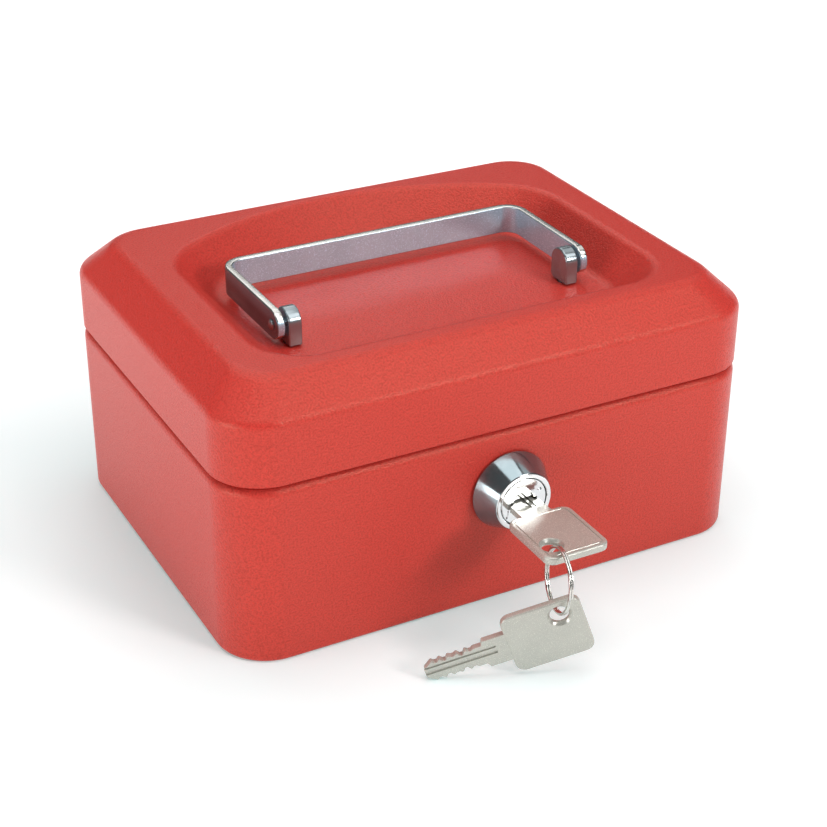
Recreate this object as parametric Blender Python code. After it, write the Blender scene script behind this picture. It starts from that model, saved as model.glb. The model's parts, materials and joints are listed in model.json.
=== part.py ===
"""Small steel cash box: hinged lid with a dished top, folding bail handle,
cam lock with two keys on a ring, and a lift-out coin tray.

X runs along the width, the lock is on the -Y side and Z is up. The origin is
on the table, in the middle of the box's footprint.
"""

import math

import bmesh
import bpy
from mathutils import Matrix, Vector

MM = 0.001

# Clearances
GAP = 0.3 * MM
RUNNING = 0.06 * MM

# Case and lid
WIDTH = 152 * MM
DEPTH = 116 * MM
WALL = 0.8 * MM
CORNER_RADIUS = 14 * MM
BASE_EDGE_RADIUS = 1.3 * MM
SHOULDER_RADIUS = 2.6 * MM
SHOULDER_BASE_Z = 47.2 * MM
FLANGE_INSET = 1.7 * MM
FLANGE_TOP_Z = 55 * MM
SKIRT_Z = 50.4 * MM
RIM_Z = 75.5 * MM
CHAMFER_Z = 67 * MM
CHAMFER_EDGE_RADIUS = 3.5 * MM
RIM_EDGE_RADIUS = 5 * MM
CHAMFER_CORNER_TAPER = 0.4
CORNER_STEPS = 7
BACK_POINTS = 5

# Dish in the lid
DISH_HALF_WIDTH = 59.6 * MM
DISH_FRONT_Y = -45.4 * MM
DISH_BACK_Y = 47.3 * MM
DISH_FRONT_RADIUS = 15.5 * MM
DISH_BACK_RADIUS = 22 * MM
DISH_CROWN_RADIUS = 94 * MM
DISH_LIP_RADIUS = 3.5 * MM
DISH_FOOT_RADIUS = 4 * MM
DISH_FLOOR_Z = 66.3 * MM
DISH_CORNER_TAPER = 0.5
SLOPE = math.radians(45)

# Rear hinges
HINGE_X = 42 * MM
HINGE_Y = DEPTH / 2 + 2.2 * MM
HINGE_Z = 50.2 * MM
HINGE_LENGTH = 24 * MM
KNUCKLE_RADIUS = 1.9 * MM
HINGE_PIN_RADIUS = 0.8 * MM
LID_KNUCKLE_LENGTH = 7.8 * MM
LEAF_THICKNESS = 0.8 * MM
LEAF_HEIGHT = 9 * MM

# Bail handle and its brackets
PIVOT_Y = -17.6 * MM
PIVOT_Z = 72.1 * MM
PIVOT_PIN_RADIUS = 1.1 * MM
PIVOT_HEAD_RADIUS = 1.5 * MM
STRIP_HEIGHT = 8 * MM
STRIP_THICKNESS = 2.1 * MM
HANDLE_X = -0.85 * MM
ARM_OUTER_X = 45.85 * MM
BAR_BACK_Y = 17.2 * MM
BEND_RADIUS = 6 * MM
BRACKET_INNER_X = 39.1 * MM
BRACKET_OUTER_X = 42.8 * MM
BRACKET_HALF_DEPTH = 4.0 * MM
BRACKET_SKIN = 0.6 * MM
SHANK_RADIUS = 1.6 * MM
SHANK_HEAD_RADIUS = 3.0 * MM
WASHER_RADIUS = 4.2 * MM
WASHER_THICKNESS = 1.0 * MM

# Lock
LOCK_Z = 32.7 * MM
CONE_BASE_RADIUS = 10.9 * MM
CONE_FACE_RADIUS = 8.1 * MM
CONE_LENGTH = 7.4 * MM
BARREL_RADIUS = 7.4 * MM
BARREL_END_Y = -47.4 * MM
PLUG_HEAD_RADIUS = 6.6 * MM
HEAD_DEPTH = 2.3 * MM
PLUG_BODY_RADIUS = 5.6 * MM
PLUG_BODY_END_Y = -47.0 * MM
DRIVE_SIDE = 5.0 * MM
DRIVE_END_Y = -45.5 * MM
KEYWAY_WIDTH = 7.8 * MM
KEYWAY_HEIGHT = 2.9 * MM
KEYWAY_END_Y = -49.3 * MM
NUT_ACROSS_FLATS = 18 * MM
NUT_THICKNESS = 3 * MM
CAM_THICKNESS = 1.5 * MM
CAM_LENGTH = 16 * MM
CAM_WIDTH = 9 * MM
CAM_TIP_RADIUS = 2 * MM
CAM_Y = PLUG_BODY_END_Y + 0.15 * MM
SCREW_HEAD_RADIUS = 3.8 * MM
SCREW_HEAD_HEIGHT = 2.2 * MM
SCREW_SHANK_RADIUS = 1.2 * MM
SCREW_SHANK_LENGTH = 2.6 * MM
SCREW_HOLE_RADIUS = 1.5 * MM
WAFER_COUNT = 5
WAFER_THICKNESS = 1.0 * MM
WAFER_PITCH = 2.3 * MM
FIRST_WAFER_Y = -60.6 * MM
WAFER_REACH = 4.3 * MM
WAFER_SPRING_REACH = 3.9 * MM
WAFER_LOW = -2.3 * MM
WAFER_HIGH = 2.0 * MM
WAFER_WINDOW_WIDTH = 6.8 * MM
WAFER_WINDOW_HEIGHT = 2.1 * MM
SPRING_SEAT = 3.0 * MM

# Keys
KEY_THICKNESS = 2.0 * MM
KEY_LENGTH = 41.7 * MM
BOW_LENGTH = 20.3 * MM
BOW_WIDTH = 17.8 * MM
BOW_RADIUS = 2.6 * MM
KEY_HOLE_RADIUS = 2.4 * MM
KEY_HOLE_FROM_END = 5.8 * MM
KEY_HOLE_FROM_SIDE = 4.3 * MM
NECK_WIDTH = 8.6 * MM
BLADE_WIDTH = 6.0 * MM
BLADE_THICKNESS = 1.7 * MM
NECK_LENGTH = 5.6 * MM
BLADE_CUTS = (0.5 * MM, 0.95 * MM, 0.35 * MM, 0.8 * MM, 0.6 * MM)
FIRST_CUT = 9.2 * MM
CUT_PITCH = 2.2 * MM
BLADE_GROOVE_WIDTH = 1.2 * MM
BLADE_WEB = 0.9 * MM
KEY_BOW_Y = -71.7 * MM
KEY_Z = LOCK_Z - 0.8 * MM
RING_RADIUS = 8.1 * MM
RING_WIRE_RADIUS = 0.6 * MM
RING_CENTRE = Vector((-5.5, -91.5, 26.1)) * MM
RING_NORMAL = Vector((0.976, -0.202, -0.079)).normalized()
SPARE_TIP = Vector((-36.1, -80.7, 2.2)) * MM
SPARE_YAW = math.radians(-23.5)
SPARE_PITCH = math.radians(19.2)
SPARE_LEAN = math.radians(-5.3)

# Coin tray
TRAY_HALF_WIDTH = 71.5 * MM
TRAY_FRONT_Y = -40 * MM
TRAY_BACK_Y = 53.4 * MM
TRAY_FLOOR_Z = 30 * MM
TRAY_LIP_Z = FLANGE_TOP_Z + GAP
TRAY_LIP_THICKNESS = 1.2 * MM
TRAY_LIP_INSET = 2.0 * MM
TRAY_WALL = 1.6 * MM
TRAY_SPLIT_Y = 9 * MM
TRAY_FRONT_RADIUS = 6 * MM
TRAY_BACK_RADIUS = 9 * MM
TRAY_LIP_FRONT_RADIUS = 3 * MM
COIN_CUPS = 4
CUP_CORNER_RADIUS = 6 * MM
CUP_ROLL = 5 * MM

# Catch that hangs from the lid behind the cam
CATCH_X = (17.6 * MM, 23 * MM)
CATCH_THICKNESS = 1.5 * MM
CATCH_Y = -45.4 * MM
CATCH_FOOT_X = 8 * MM
CATCH_FOOT_Z = 24.4 * MM
CATCH_SHELF_Z = FLANGE_TOP_Z + 4 * MM
CATCH_TOP_Z = 65 * MM

RED = (0.60, 0.075, 0.052)
STEEL = (0.55, 0.56, 0.57)


def clear_scene():
    for item in list(bpy.data.objects):
        bpy.data.objects.remove(item, do_unlink=True)


def material(name, colour, roughness, metallic):
    found = bpy.data.materials.get(name)
    if found:
        return found
    made = bpy.data.materials.new(name)
    made.use_nodes = True
    shader = made.node_tree.nodes["Principled BSDF"]
    shader.inputs["Base Color"].default_value = (*colour, 1)
    shader.inputs["Roughness"].default_value = roughness
    shader.inputs["Metallic"].default_value = metallic
    return made


def red_paint():
    return material("red_powder_coat", RED, 0.42, 0.0)


def satin_steel():
    return material("satin_steel", STEEL, 0.32, 1.0)


def zinc_steel():
    return material("zinc_steel", (0.60, 0.61, 0.62), 0.4, 1.0)


def chrome():
    return material("chrome", (0.72, 0.73, 0.74), 0.1, 1.0)


def nickel():
    return material("nickel", (0.62, 0.60, 0.56), 0.28, 1.0)


def brass():
    return material("brass", (0.72, 0.54, 0.24), 0.3, 1.0)


def tray_plastic():
    return material("tray_plastic", (0.03, 0.03, 0.033), 0.5, 0.0)


def finish_mesh(name, bm, surface):
    """Closes off a bmesh into a named object with outward faces."""
    bmesh.ops.recalc_face_normals(bm, faces=bm.faces)
    if bm.calc_volume(signed=True) < 0:
        bmesh.ops.reverse_faces(bm, faces=bm.faces)
    mesh = bpy.data.meshes.new(name)
    bm.to_mesh(mesh)
    bm.free()
    mesh.materials.append(surface)
    mesh.shade_smooth()
    mesh.set_sharp_from_angle(angle=math.radians(35))
    made = bpy.data.objects.new(name, mesh)
    bpy.context.scene.collection.objects.link(made)
    return made


def cut_or_join(target, tools, operation):
    """Applies an exact Boolean with each tool, then removes the tools."""
    for tool in tools:
        tool.hide_render = True
        tool.display_type = "WIRE"
        step = target.modifiers.new("boolean", "BOOLEAN")
        step.solver = "EXACT"
        step.operation = operation
        step.object = tool
    graph = bpy.context.evaluated_depsgraph_get()
    result = bpy.data.meshes.new_from_object(target.evaluated_get(graph))
    target.modifiers.clear()
    target.data = result
    result.shade_smooth()
    result.set_sharp_from_angle(angle=math.radians(35))
    for tool in tools:
        bpy.data.objects.remove(tool, do_unlink=True)
    return target


def cut(target, *tools):
    return cut_or_join(target, tools, "DIFFERENCE")


def join(target, *tools):
    return cut_or_join(target, tools, "UNION")


def arc(centre, radius, start, end, steps):
    """Points along an arc in a plane, both ends included; angles in degrees."""
    points = []
    for i in range(steps + 1):
        angle = math.radians(start + (end - start) * i / steps)
        points.append((centre[0] + radius * math.cos(angle), centre[1] + radius * math.sin(angle)))
    return points


def plan(half_x, front, back, front_radius, back_radius, crown=0.0):
    """Rounded rectangle in plan, anticlockwise; a crown radius bows its back edge."""
    front_x = half_x - front_radius
    back_x = half_x - back_radius
    if crown:
        back_y = back - crown + math.sqrt((crown - back_radius) ** 2 - back_x**2)
        lean = math.degrees(math.asin(back_x / (crown - back_radius)))
    else:
        back_y = back - back_radius
        lean = 0.0
    points = arc((front_x, front + front_radius), front_radius, -90, 0, CORNER_STEPS)
    points += arc((back_x, back_y), back_radius, 0, 90 - lean, CORNER_STEPS)
    if crown:
        bow = arc((0, back - crown), crown, 90 - lean, 90 + lean, BACK_POINTS + 1)
    else:
        step = 2 * back_x / (BACK_POINTS + 1)
        bow = [(back_x - i * step, back) for i in range(BACK_POINTS + 2)]
    points += bow[1:-1]
    points += arc((-back_x, back_y), back_radius, 90 + lean, 180, CORNER_STEPS)
    points += arc((-front_x, front + front_radius), front_radius, 180, 270, CORNER_STEPS)
    return points


def loft(name, rings, surface):
    """Joins rings of equal length, each a list of 3-D points, and caps both ends."""
    bm = bmesh.new()
    loops = [[bm.verts.new(point) for point in ring] for ring in rings]
    count = len(rings[0])
    for low, high in zip(loops, loops[1:]):
        for i in range(count):
            j = (i + 1) % count
            bm.faces.new((low[i], low[j], high[j], high[i]))
    bm.faces.new(reversed(loops[0]))
    bm.faces.new(loops[-1])
    return finish_mesh(name, bm, surface)


def turned(name, profile, surface, steps=32, closed=False):
    """Turns a profile of (radius, height) points about Z.

    An open profile starts and ends on the axis; a closed one makes a ring.
    """
    bm = bmesh.new()
    rows = []
    for radius, height in profile:
        if radius < 1e-7:
            rows.append([bm.verts.new((0, 0, height))] * steps)
            continue
        row = []
        for i in range(steps):
            angle = 2 * math.pi * i / steps
            row.append(bm.verts.new((radius * math.cos(angle), radius * math.sin(angle), height)))
        rows.append(row)
    pairs = list(zip(rows, rows[1:]))
    if closed:
        pairs.append((rows[-1], rows[0]))
    for low, high in pairs:
        for i in range(steps):
            j = (i + 1) % steps
            corners = [low[i], low[j], high[j], high[i]]
            corners = list(dict.fromkeys(corners))
            if len(corners) > 2:
                bm.faces.new(corners)
    return finish_mesh(name, bm, surface)


def extruded(name, outline, low, high, surface, axis="Z"):
    """Extrudes a flat outline between two heights along X, Y or Z."""
    place = {
        "X": lambda u, v, w: (w, u, v),
        "Y": lambda u, v, w: (u, w, v),
        "Z": lambda u, v, w: (u, v, w),
    }[axis]
    rings = [[place(u, v, level) for u, v in outline] for level in (low, high)]
    return loft(name, rings, surface)


def block(name, low, high, surface):
    outline = [(low[0], low[1]), (high[0], low[1]), (high[0], high[1]), (low[0], high[1])]
    return extruded(name, outline, low[2], high[2], surface)


def rod(name, radius, start, end, surface, steps=24):
    """Plain cylinder from start to end."""
    axis = Vector(end) - Vector(start)
    made = turned(name, [(0, 0), (radius, 0), (radius, axis.length), (0, axis.length)], surface, steps)
    turn = axis.to_track_quat("Z", "Y").to_matrix().to_4x4()
    made.data.transform(Matrix.Translation(start) @ turn)
    return made


def along_lock(made, y):
    """Stands a turned piece on the lock's axis, its height running towards the front."""
    made.data.transform(Matrix.Translation((0, y, LOCK_Z)) @ Matrix.Rotation(math.radians(90), 4, "X"))
    return made


def axis_empty(name, place, parent=None):
    marker = bpy.data.objects.new(name, None)
    marker.empty_display_size = 10 * MM
    bpy.context.scene.collection.objects.link(marker)
    attach(marker, parent, place)
    return marker


def attach(made, parent, place):
    """Gives a piece its origin at a world place and hangs it on its parent."""
    place = Vector(place)
    if made.data:
        made.data.transform(Matrix.Translation(-place))
    made["world_origin"] = list(place)
    made.parent = parent
    made.location = place - (Vector(parent["world_origin"]) if parent else Vector())


# Case ---------------------------------------------------------------------


def body_ring(inset, z, radius=None):
    if radius is None:
        radius = CORNER_RADIUS - inset
    half_depth = DEPTH / 2 - inset
    points = plan(WIDTH / 2 - inset, -half_depth, half_depth, radius, radius)
    return [(x, y, z) for x, y in points]


def box_shell():
    edge = BASE_EDGE_RADIUS
    outer = arc((edge, edge), edge, 270, 180, 3)
    outer += arc((SHOULDER_RADIUS, SHOULDER_BASE_Z), SHOULDER_RADIUS, 180, 111, 3)
    outer.append((FLANGE_INSET, FLANGE_TOP_Z))
    inner = [(FLANGE_INSET + WALL, FLANGE_TOP_Z)]
    inner += arc((SHOULDER_RADIUS, SHOULDER_BASE_Z), SHOULDER_RADIUS - WALL, 93, 180, 3)
    inner += arc((edge, edge), edge - WALL, 180, 270, 3)
    shell = loft("box_shell", [body_ring(d, z) for d, z in outer + inner], red_paint())
    hole = rod("lock_hole", BARREL_RADIUS + GAP, (0, -DEPTH / 2 - 5 * MM, LOCK_Z),
               (0, -DEPTH / 2 + 5 * MM, LOCK_Z), red_paint())
    return cut(shell, hole)


# Lid ----------------------------------------------------------------------


def outer_station(inset, z, tilt):
    """One line of the lid's outside; tilt is how far its normal leans from upright."""
    lean = math.radians(tilt)
    radius = CORNER_RADIUS - CHAMFER_CORNER_TAPER * inset

    def ring(depth):
        step = depth * math.sin(lean)
        return body_ring(inset + step, z - depth * math.cos(lean), radius - step)

    return ring


def dish_station(inset, z, tilt):
    """One line of the dish; its normal leans towards the middle by tilt."""
    lean = math.radians(tilt)
    taper = DISH_CORNER_TAPER * inset

    def ring(depth):
        step = depth * math.sin(lean)
        d = inset - step
        points = plan(DISH_HALF_WIDTH - d, DISH_FRONT_Y + d, DISH_BACK_Y - d,
                      DISH_FRONT_RADIUS - taper + step, DISH_BACK_RADIUS - taper + step,
                      DISH_CROWN_RADIUS - d)
        return [(x, y, z - depth * math.cos(lean)) for x, y in points]

    return ring


def dish_foot_inset():
    """How far in from the lip the slope meets the floor."""
    turn = DISH_LIP_RADIUS + DISH_FOOT_RADIUS
    drop = RIM_Z - DISH_FLOOR_Z - turn * (1 - math.cos(SLOPE))
    return turn * math.sin(SLOPE) + drop / math.tan(SLOPE)


def lid_stations():
    half_turn = math.tan(math.radians(22.5))
    chamfer_inset = RIM_Z - CHAMFER_Z
    low = CHAMFER_EDGE_RADIUS
    low_z = CHAMFER_Z - low * half_turn
    rim = RIM_EDGE_RADIUS
    rim_inset = chamfer_inset + rim * half_turn
    stations = [outer_station(0, SKIRT_Z, 90)]
    for i in range(4):
        turn = math.radians(15 * i)
        stations.append(outer_station(low * (1 - math.cos(turn)), low_z + low * math.sin(turn), 90 - 15 * i))
    for tilt in (45, 30, 15, 0):
        turn = math.radians(tilt)
        stations.append(outer_station(rim_inset - rim * math.sin(turn),
                                      RIM_Z - rim * (1 - math.cos(turn)), tilt))
    for tilt in (0, 15, 30, 45):
        turn = math.radians(tilt)
        stations.append(dish_station(DISH_LIP_RADIUS * math.sin(turn),
                                     RIM_Z - DISH_LIP_RADIUS * (1 - math.cos(turn)), tilt))
    for tilt in (45, 30, 15, 0):
        turn = math.radians(tilt)
        stations.append(dish_station(dish_foot_inset() - DISH_FOOT_RADIUS * math.sin(turn),
                                     DISH_FLOOR_Z + DISH_FOOT_RADIUS * (1 - math.cos(turn)), tilt))
    return stations


def lid_shell():
    stations = lid_stations()
    rings = [station(WALL) for station in reversed(stations)]
    rings += [station(0) for station in stations]
    shell = loft("lid_shell", rings, red_paint())
    holes = []
    for side in (-1, 1):
        x = HANDLE_X + side * (BRACKET_INNER_X + BRACKET_OUTER_X) / 2
        holes.append(rod("shank_hole", SHANK_RADIUS + GAP, (x, PIVOT_Y, DISH_FLOOR_Z - 5 * MM),
                         (x, PIVOT_Y, DISH_FLOOR_Z + 5 * MM), red_paint(), 16))
    return cut(shell, *holes)


def lid_catch():
    """Bent strip hanging from the lid's front wall, with a foot under the locked cam."""
    left, right = CATCH_X
    wall_y = -DEPTH / 2 + WALL + GAP
    back = CATCH_Y
    front = CATCH_Y - CATCH_THICKNESS
    shelf_top = CATCH_SHELF_Z + CATCH_THICKNESS
    foot_top = LOCK_Z - CAM_WIDTH / 2 - 2 * GAP
    tab = block("lid_catch", (left, wall_y, CATCH_SHELF_Z), (right, wall_y + CATCH_THICKNESS, CATCH_TOP_Z),
                zinc_steel())
    shelf = block("shelf", (left, wall_y + CATCH_THICKNESS / 2, CATCH_SHELF_Z), (right, back, shelf_top),
                  zinc_steel())
    limb = block("limb", (left, front, CATCH_FOOT_Z), (right, back, shelf_top - CATCH_THICKNESS / 2),
                 zinc_steel())
    foot = block("foot", (CATCH_FOOT_X, front, CATCH_FOOT_Z), (left + MM, back, foot_top), zinc_steel())
    return join(tab, shelf, limb, foot)


# Hinges -------------------------------------------------------------------


def leaf(name, side, plate_z, knuckles, tail_z):
    """Hinge leaf: a plate on the rear wall and one or more curled knuckles."""
    centre = side * HINGE_X
    half = HINGE_LENGTH / 2
    inner_y = HINGE_Y - KNUCKLE_RADIUS
    plate = block(name, (centre - half, inner_y, plate_z[0]),
                  (centre + half, inner_y + LEAF_THICKNESS, plate_z[1]), red_paint())
    tools = []
    bores = []
    for low, high in knuckles:
        tools.append(rod("knuckle", KNUCKLE_RADIUS, (centre + low, HINGE_Y, HINGE_Z),
                         (centre + high, HINGE_Y, HINGE_Z), red_paint(), 20))
        tools.append(block("tail", (centre + low, inner_y, tail_z[0]),
                           (centre + high, inner_y + LEAF_THICKNESS, tail_z[1]), red_paint()))
        bores.append(rod("bore", HINGE_PIN_RADIUS + 2 * RUNNING, (centre + low - MM, HINGE_Y, HINGE_Z),
                         (centre + high + MM, HINGE_Y, HINGE_Z), red_paint(), 20))
    return cut(join(plate, *tools), *bores)


def hinge(side, name):
    half = HINGE_LENGTH / 2
    middle = LID_KNUCKLE_LENGTH / 2
    clear = KNUCKLE_RADIUS + GAP
    body_knuckles = [(-half, -middle - GAP), (middle + GAP, half)]
    body_leaf = leaf("hinge_leaf_body_" + name, side,
                     (HINGE_Z - clear - LEAF_HEIGHT, HINGE_Z - clear), body_knuckles,
                     (HINGE_Z - clear - 1 * MM, HINGE_Z))
    lid_leaf = leaf("hinge_leaf_lid_" + name, side,
                    (HINGE_Z + clear, HINGE_Z + clear + LEAF_HEIGHT), [(-middle, middle)],
                    (HINGE_Z, HINGE_Z + clear + 1 * MM))
    centre = side * HINGE_X
    pin = rod("hinge_pin_" + name, HINGE_PIN_RADIUS, (centre - half, HINGE_Y, HINGE_Z),
              (centre + half, HINGE_Y, HINGE_Z), zinc_steel(), 20)
    return body_leaf, lid_leaf, pin


# Handle -------------------------------------------------------------------


def half_round(centre_y, centre_z, radius, base_y, steps=10):
    """Side outline of a strip end: a half circle at -Y and a square end at base_y."""
    points = arc((centre_y, centre_z), radius, 90, 270, steps)
    return points + [(base_y, centre_z - radius), (base_y, centre_z + radius)]


def bail_path(offset):
    """Plan outline of one side of the bent strip, offset inwards from its outside."""
    outer = ARM_OUTER_X - offset
    back = BAR_BACK_Y - offset
    radius = BEND_RADIUS - offset
    points = [(outer, PIVOT_Y)]
    points += arc((outer - radius, back - radius), radius, 0, 90, 6)
    points += arc((-outer + radius, back - radius), radius, 90, 180, 6)
    points.append((-outer, PIVOT_Y))
    return points


def handle_bail():
    outline = bail_path(0) + list(reversed(bail_path(STRIP_THICKNESS)))
    half = STRIP_HEIGHT / 2
    bail = extruded("handle_bail", outline, PIVOT_Z - half, PIVOT_Z + half, satin_steel())
    ends = []
    bores = []
    for side in (-1, 1):
        inner = side * (ARM_OUTER_X - STRIP_THICKNESS)
        outer = side * ARM_OUTER_X
        low, high = sorted((inner, outer))
        ends.append(extruded("arm_end", half_round(PIVOT_Y, PIVOT_Z, half, PIVOT_Y + MM),
                             low, high, satin_steel(), "X"))
        bores.append(rod("bore", PIVOT_PIN_RADIUS + 2 * RUNNING, (low - MM, PIVOT_Y, PIVOT_Z),
                         (high + MM, PIVOT_Y, PIVOT_Z), satin_steel(), 20))
    bail = cut(join(bail, *ends), *bores)
    bail.data.transform(Matrix.Translation((HANDLE_X, 0, 0)))
    return bail


def handle_bracket(name, side):
    """Upright post with a half-round top, and a headed shank through the lid."""
    low, high = sorted((HANDLE_X + side * BRACKET_INNER_X, HANDLE_X + side * BRACKET_OUTER_X))
    foot_z = DISH_FLOOR_Z + GAP
    outline = arc((PIVOT_Y, PIVOT_Z), BRACKET_HALF_DEPTH, 0, 180, 12)
    outline += [(PIVOT_Y - BRACKET_HALF_DEPTH, foot_z), (PIVOT_Y + BRACKET_HALF_DEPTH - MM, foot_z),
                (PIVOT_Y + BRACKET_HALF_DEPTH, foot_z + MM)]
    post = extruded("handle_bracket_" + name, outline, low, high, chrome(), "X")
    x = (low + high) / 2
    head_top = DISH_FLOOR_Z - WALL - 2 * GAP - WASHER_THICKNESS
    profile = [(0, foot_z + MM), (SHANK_RADIUS, foot_z + MM), (SHANK_RADIUS, head_top),
               (SHANK_HEAD_RADIUS, head_top), (SHANK_HEAD_RADIUS * 0.8, head_top - MM), (0, head_top - MM)]
    shank = turned("shank", list(reversed(profile)), chrome(), 16)
    shank.data.transform(Matrix.Translation((x, PIVOT_Y, 0)))
    bore_start = HANDLE_X + side * (BRACKET_INNER_X + BRACKET_SKIN)
    bore_end = HANDLE_X + side * (BRACKET_OUTER_X + MM)
    bore = rod("bore", PIVOT_PIN_RADIUS + 2 * RUNNING, (bore_start, PIVOT_Y, PIVOT_Z),
               (bore_end, PIVOT_Y, PIVOT_Z), chrome(), 20)
    return cut(join(post, shank), bore)


def bracket_washer(name, side):
    x = HANDLE_X + side * (BRACKET_INNER_X + BRACKET_OUTER_X) / 2
    top = DISH_FLOOR_Z - WALL - GAP
    inner = SHANK_RADIUS + GAP
    profile = [(inner, top - WASHER_THICKNESS), (WASHER_RADIUS, top - WASHER_THICKNESS),
               (WASHER_RADIUS, top), (inner, top)]
    washer = turned("bracket_washer_" + name, profile, zinc_steel(), 20, closed=True)
    washer.data.transform(Matrix.Translation((x, PIVOT_Y, 0)))
    return washer


def pivot_pin(name, side):
    """Headed pin through the handle's arm and the bracket, the dome outside."""
    inner = BRACKET_INNER_X + BRACKET_SKIN + GAP
    head = ARM_OUTER_X + 0.1 * MM
    profile = [(0, inner), (PIVOT_PIN_RADIUS, inner), (PIVOT_PIN_RADIUS, head),
               (PIVOT_HEAD_RADIUS, head), (PIVOT_HEAD_RADIUS * 0.75, head + 0.5 * MM),
               (0, head + 0.7 * MM)]
    pin = turned("pivot_pin_" + name, profile, chrome(), 20)
    pin.data.transform(Matrix.Translation((HANDLE_X, PIVOT_Y, PIVOT_Z))
                       @ Matrix.Rotation(side * math.radians(90), 4, "Y"))
    return pin


# Lock ---------------------------------------------------------------------


def lock_housing():
    """Cone outside the wall, threaded barrel through it, stepped bore for the plug."""
    front = -DEPTH / 2 - GAP
    face = front - CONE_LENGTH
    head_y = face + HEAD_DEPTH
    profile = [
        (BARREL_RADIUS, -BARREL_END_Y), (BARREL_RADIUS, -front), (CONE_BASE_RADIUS - 0.4 * MM, -front),
        (CONE_BASE_RADIUS, -front + 0.5 * MM), (CONE_FACE_RADIUS, -face - 0.5 * MM),
        (CONE_FACE_RADIUS - 0.5 * MM, -face), (PLUG_HEAD_RADIUS + 0.12 * MM, -face),
        (PLUG_HEAD_RADIUS + 0.12 * MM, -head_y), (PLUG_BODY_RADIUS + 0.12 * MM, -head_y),
        (PLUG_BODY_RADIUS + 0.12 * MM, -BARREL_END_Y),
    ]
    return along_lock(turned("lock_housing", profile, chrome(), 36, closed=True), 0)


def lock_nut():
    back = -DEPTH / 2 + WALL + GAP
    outline = arc((0, LOCK_Z), NUT_ACROSS_FLATS / math.sqrt(3), 0, 300, 5)
    nut = extruded("lock_nut", outline, back, back + NUT_THICKNESS, zinc_steel(), "Y")
    bore = rod("bore", BARREL_RADIUS + GAP, (0, back - MM, LOCK_Z),
               (0, back + NUT_THICKNESS + MM, LOCK_Z), zinc_steel(), 32)
    return cut(nut, bore)


def wafer_y(index):
    return FIRST_WAFER_Y + index * WAFER_PITCH


def lock_plug():
    """Turned plug with a keyway from the front, wafer slots and a square drive end."""
    face = -DEPTH / 2 - GAP - CONE_LENGTH + 0.2 * MM
    head_y = face + HEAD_DEPTH - 0.4 * MM
    profile = [(0, -PLUG_BODY_END_Y), (PLUG_BODY_RADIUS, -PLUG_BODY_END_Y), (PLUG_BODY_RADIUS, -head_y),
               (PLUG_HEAD_RADIUS, -head_y), (PLUG_HEAD_RADIUS, -face - 0.2 * MM),
               (PLUG_HEAD_RADIUS - 0.2 * MM, -face), (0, -face)]
    plug = along_lock(turned("lock_plug", profile, chrome(), 32), 0)
    half = DRIVE_SIDE / 2
    drive = block("drive", (-half, PLUG_BODY_END_Y - MM, LOCK_Z - half),
                  (half, DRIVE_END_Y, LOCK_Z + half), chrome())
    keyway = block("keyway", (-KEYWAY_WIDTH / 2, face - MM, KEY_Z - KEYWAY_HEIGHT / 2),
                   (KEYWAY_WIDTH / 2, KEYWAY_END_Y, KEY_Z + KEYWAY_HEIGHT / 2), chrome())
    tapped = rod("tapped_hole", SCREW_HOLE_RADIUS, (0, KEYWAY_END_Y + 0.8 * MM, LOCK_Z),
                 (0, DRIVE_END_Y + MM, LOCK_Z), chrome(), 12)
    slots = []
    half_slot = WAFER_THICKNESS / 2 + GAP / 2
    reach = WAFER_REACH + GAP
    for index in range(WAFER_COUNT):
        y = wafer_y(index)
        slots.append(block("wafer_slot", (-reach, y - half_slot, LOCK_Z + WAFER_LOW - GAP),
                           (reach, y + half_slot, LOCK_Z + WAFER_HIGH + GAP), chrome()))
    return cut(join(plug, drive), keyway, tapped, *slots)


def lock_wafer(index):
    """Thin plate round the key's blade, free to slide along X in its slot."""
    y = wafer_y(index)
    half = WAFER_THICKNESS / 2
    side = 1 if index % 2 else -1
    low, high = sorted((-side * WAFER_REACH, side * WAFER_SPRING_REACH))
    wafer = block("lock_wafer_%d" % (index + 1), (low, y - half, LOCK_Z + WAFER_LOW),
                  (high, y + half, LOCK_Z + WAFER_HIGH), brass())
    half_width = WAFER_WINDOW_WIDTH / 2
    half_height = WAFER_WINDOW_HEIGHT / 2
    window = block("window", (-half_width, y - MM, KEY_Z - half_height),
                   (half_width, y + MM, KEY_Z + half_height), brass())
    notch_low, notch_high = sorted((side * SPRING_SEAT, side * (WAFER_REACH + MM)))
    notch = block("notch", (notch_low, y - MM, LOCK_Z + 0.3 * WAFER_HIGH),
                  (notch_high, y + MM, LOCK_Z + WAFER_HIGH + MM), brass())
    return cut(wafer, window, notch)


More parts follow.
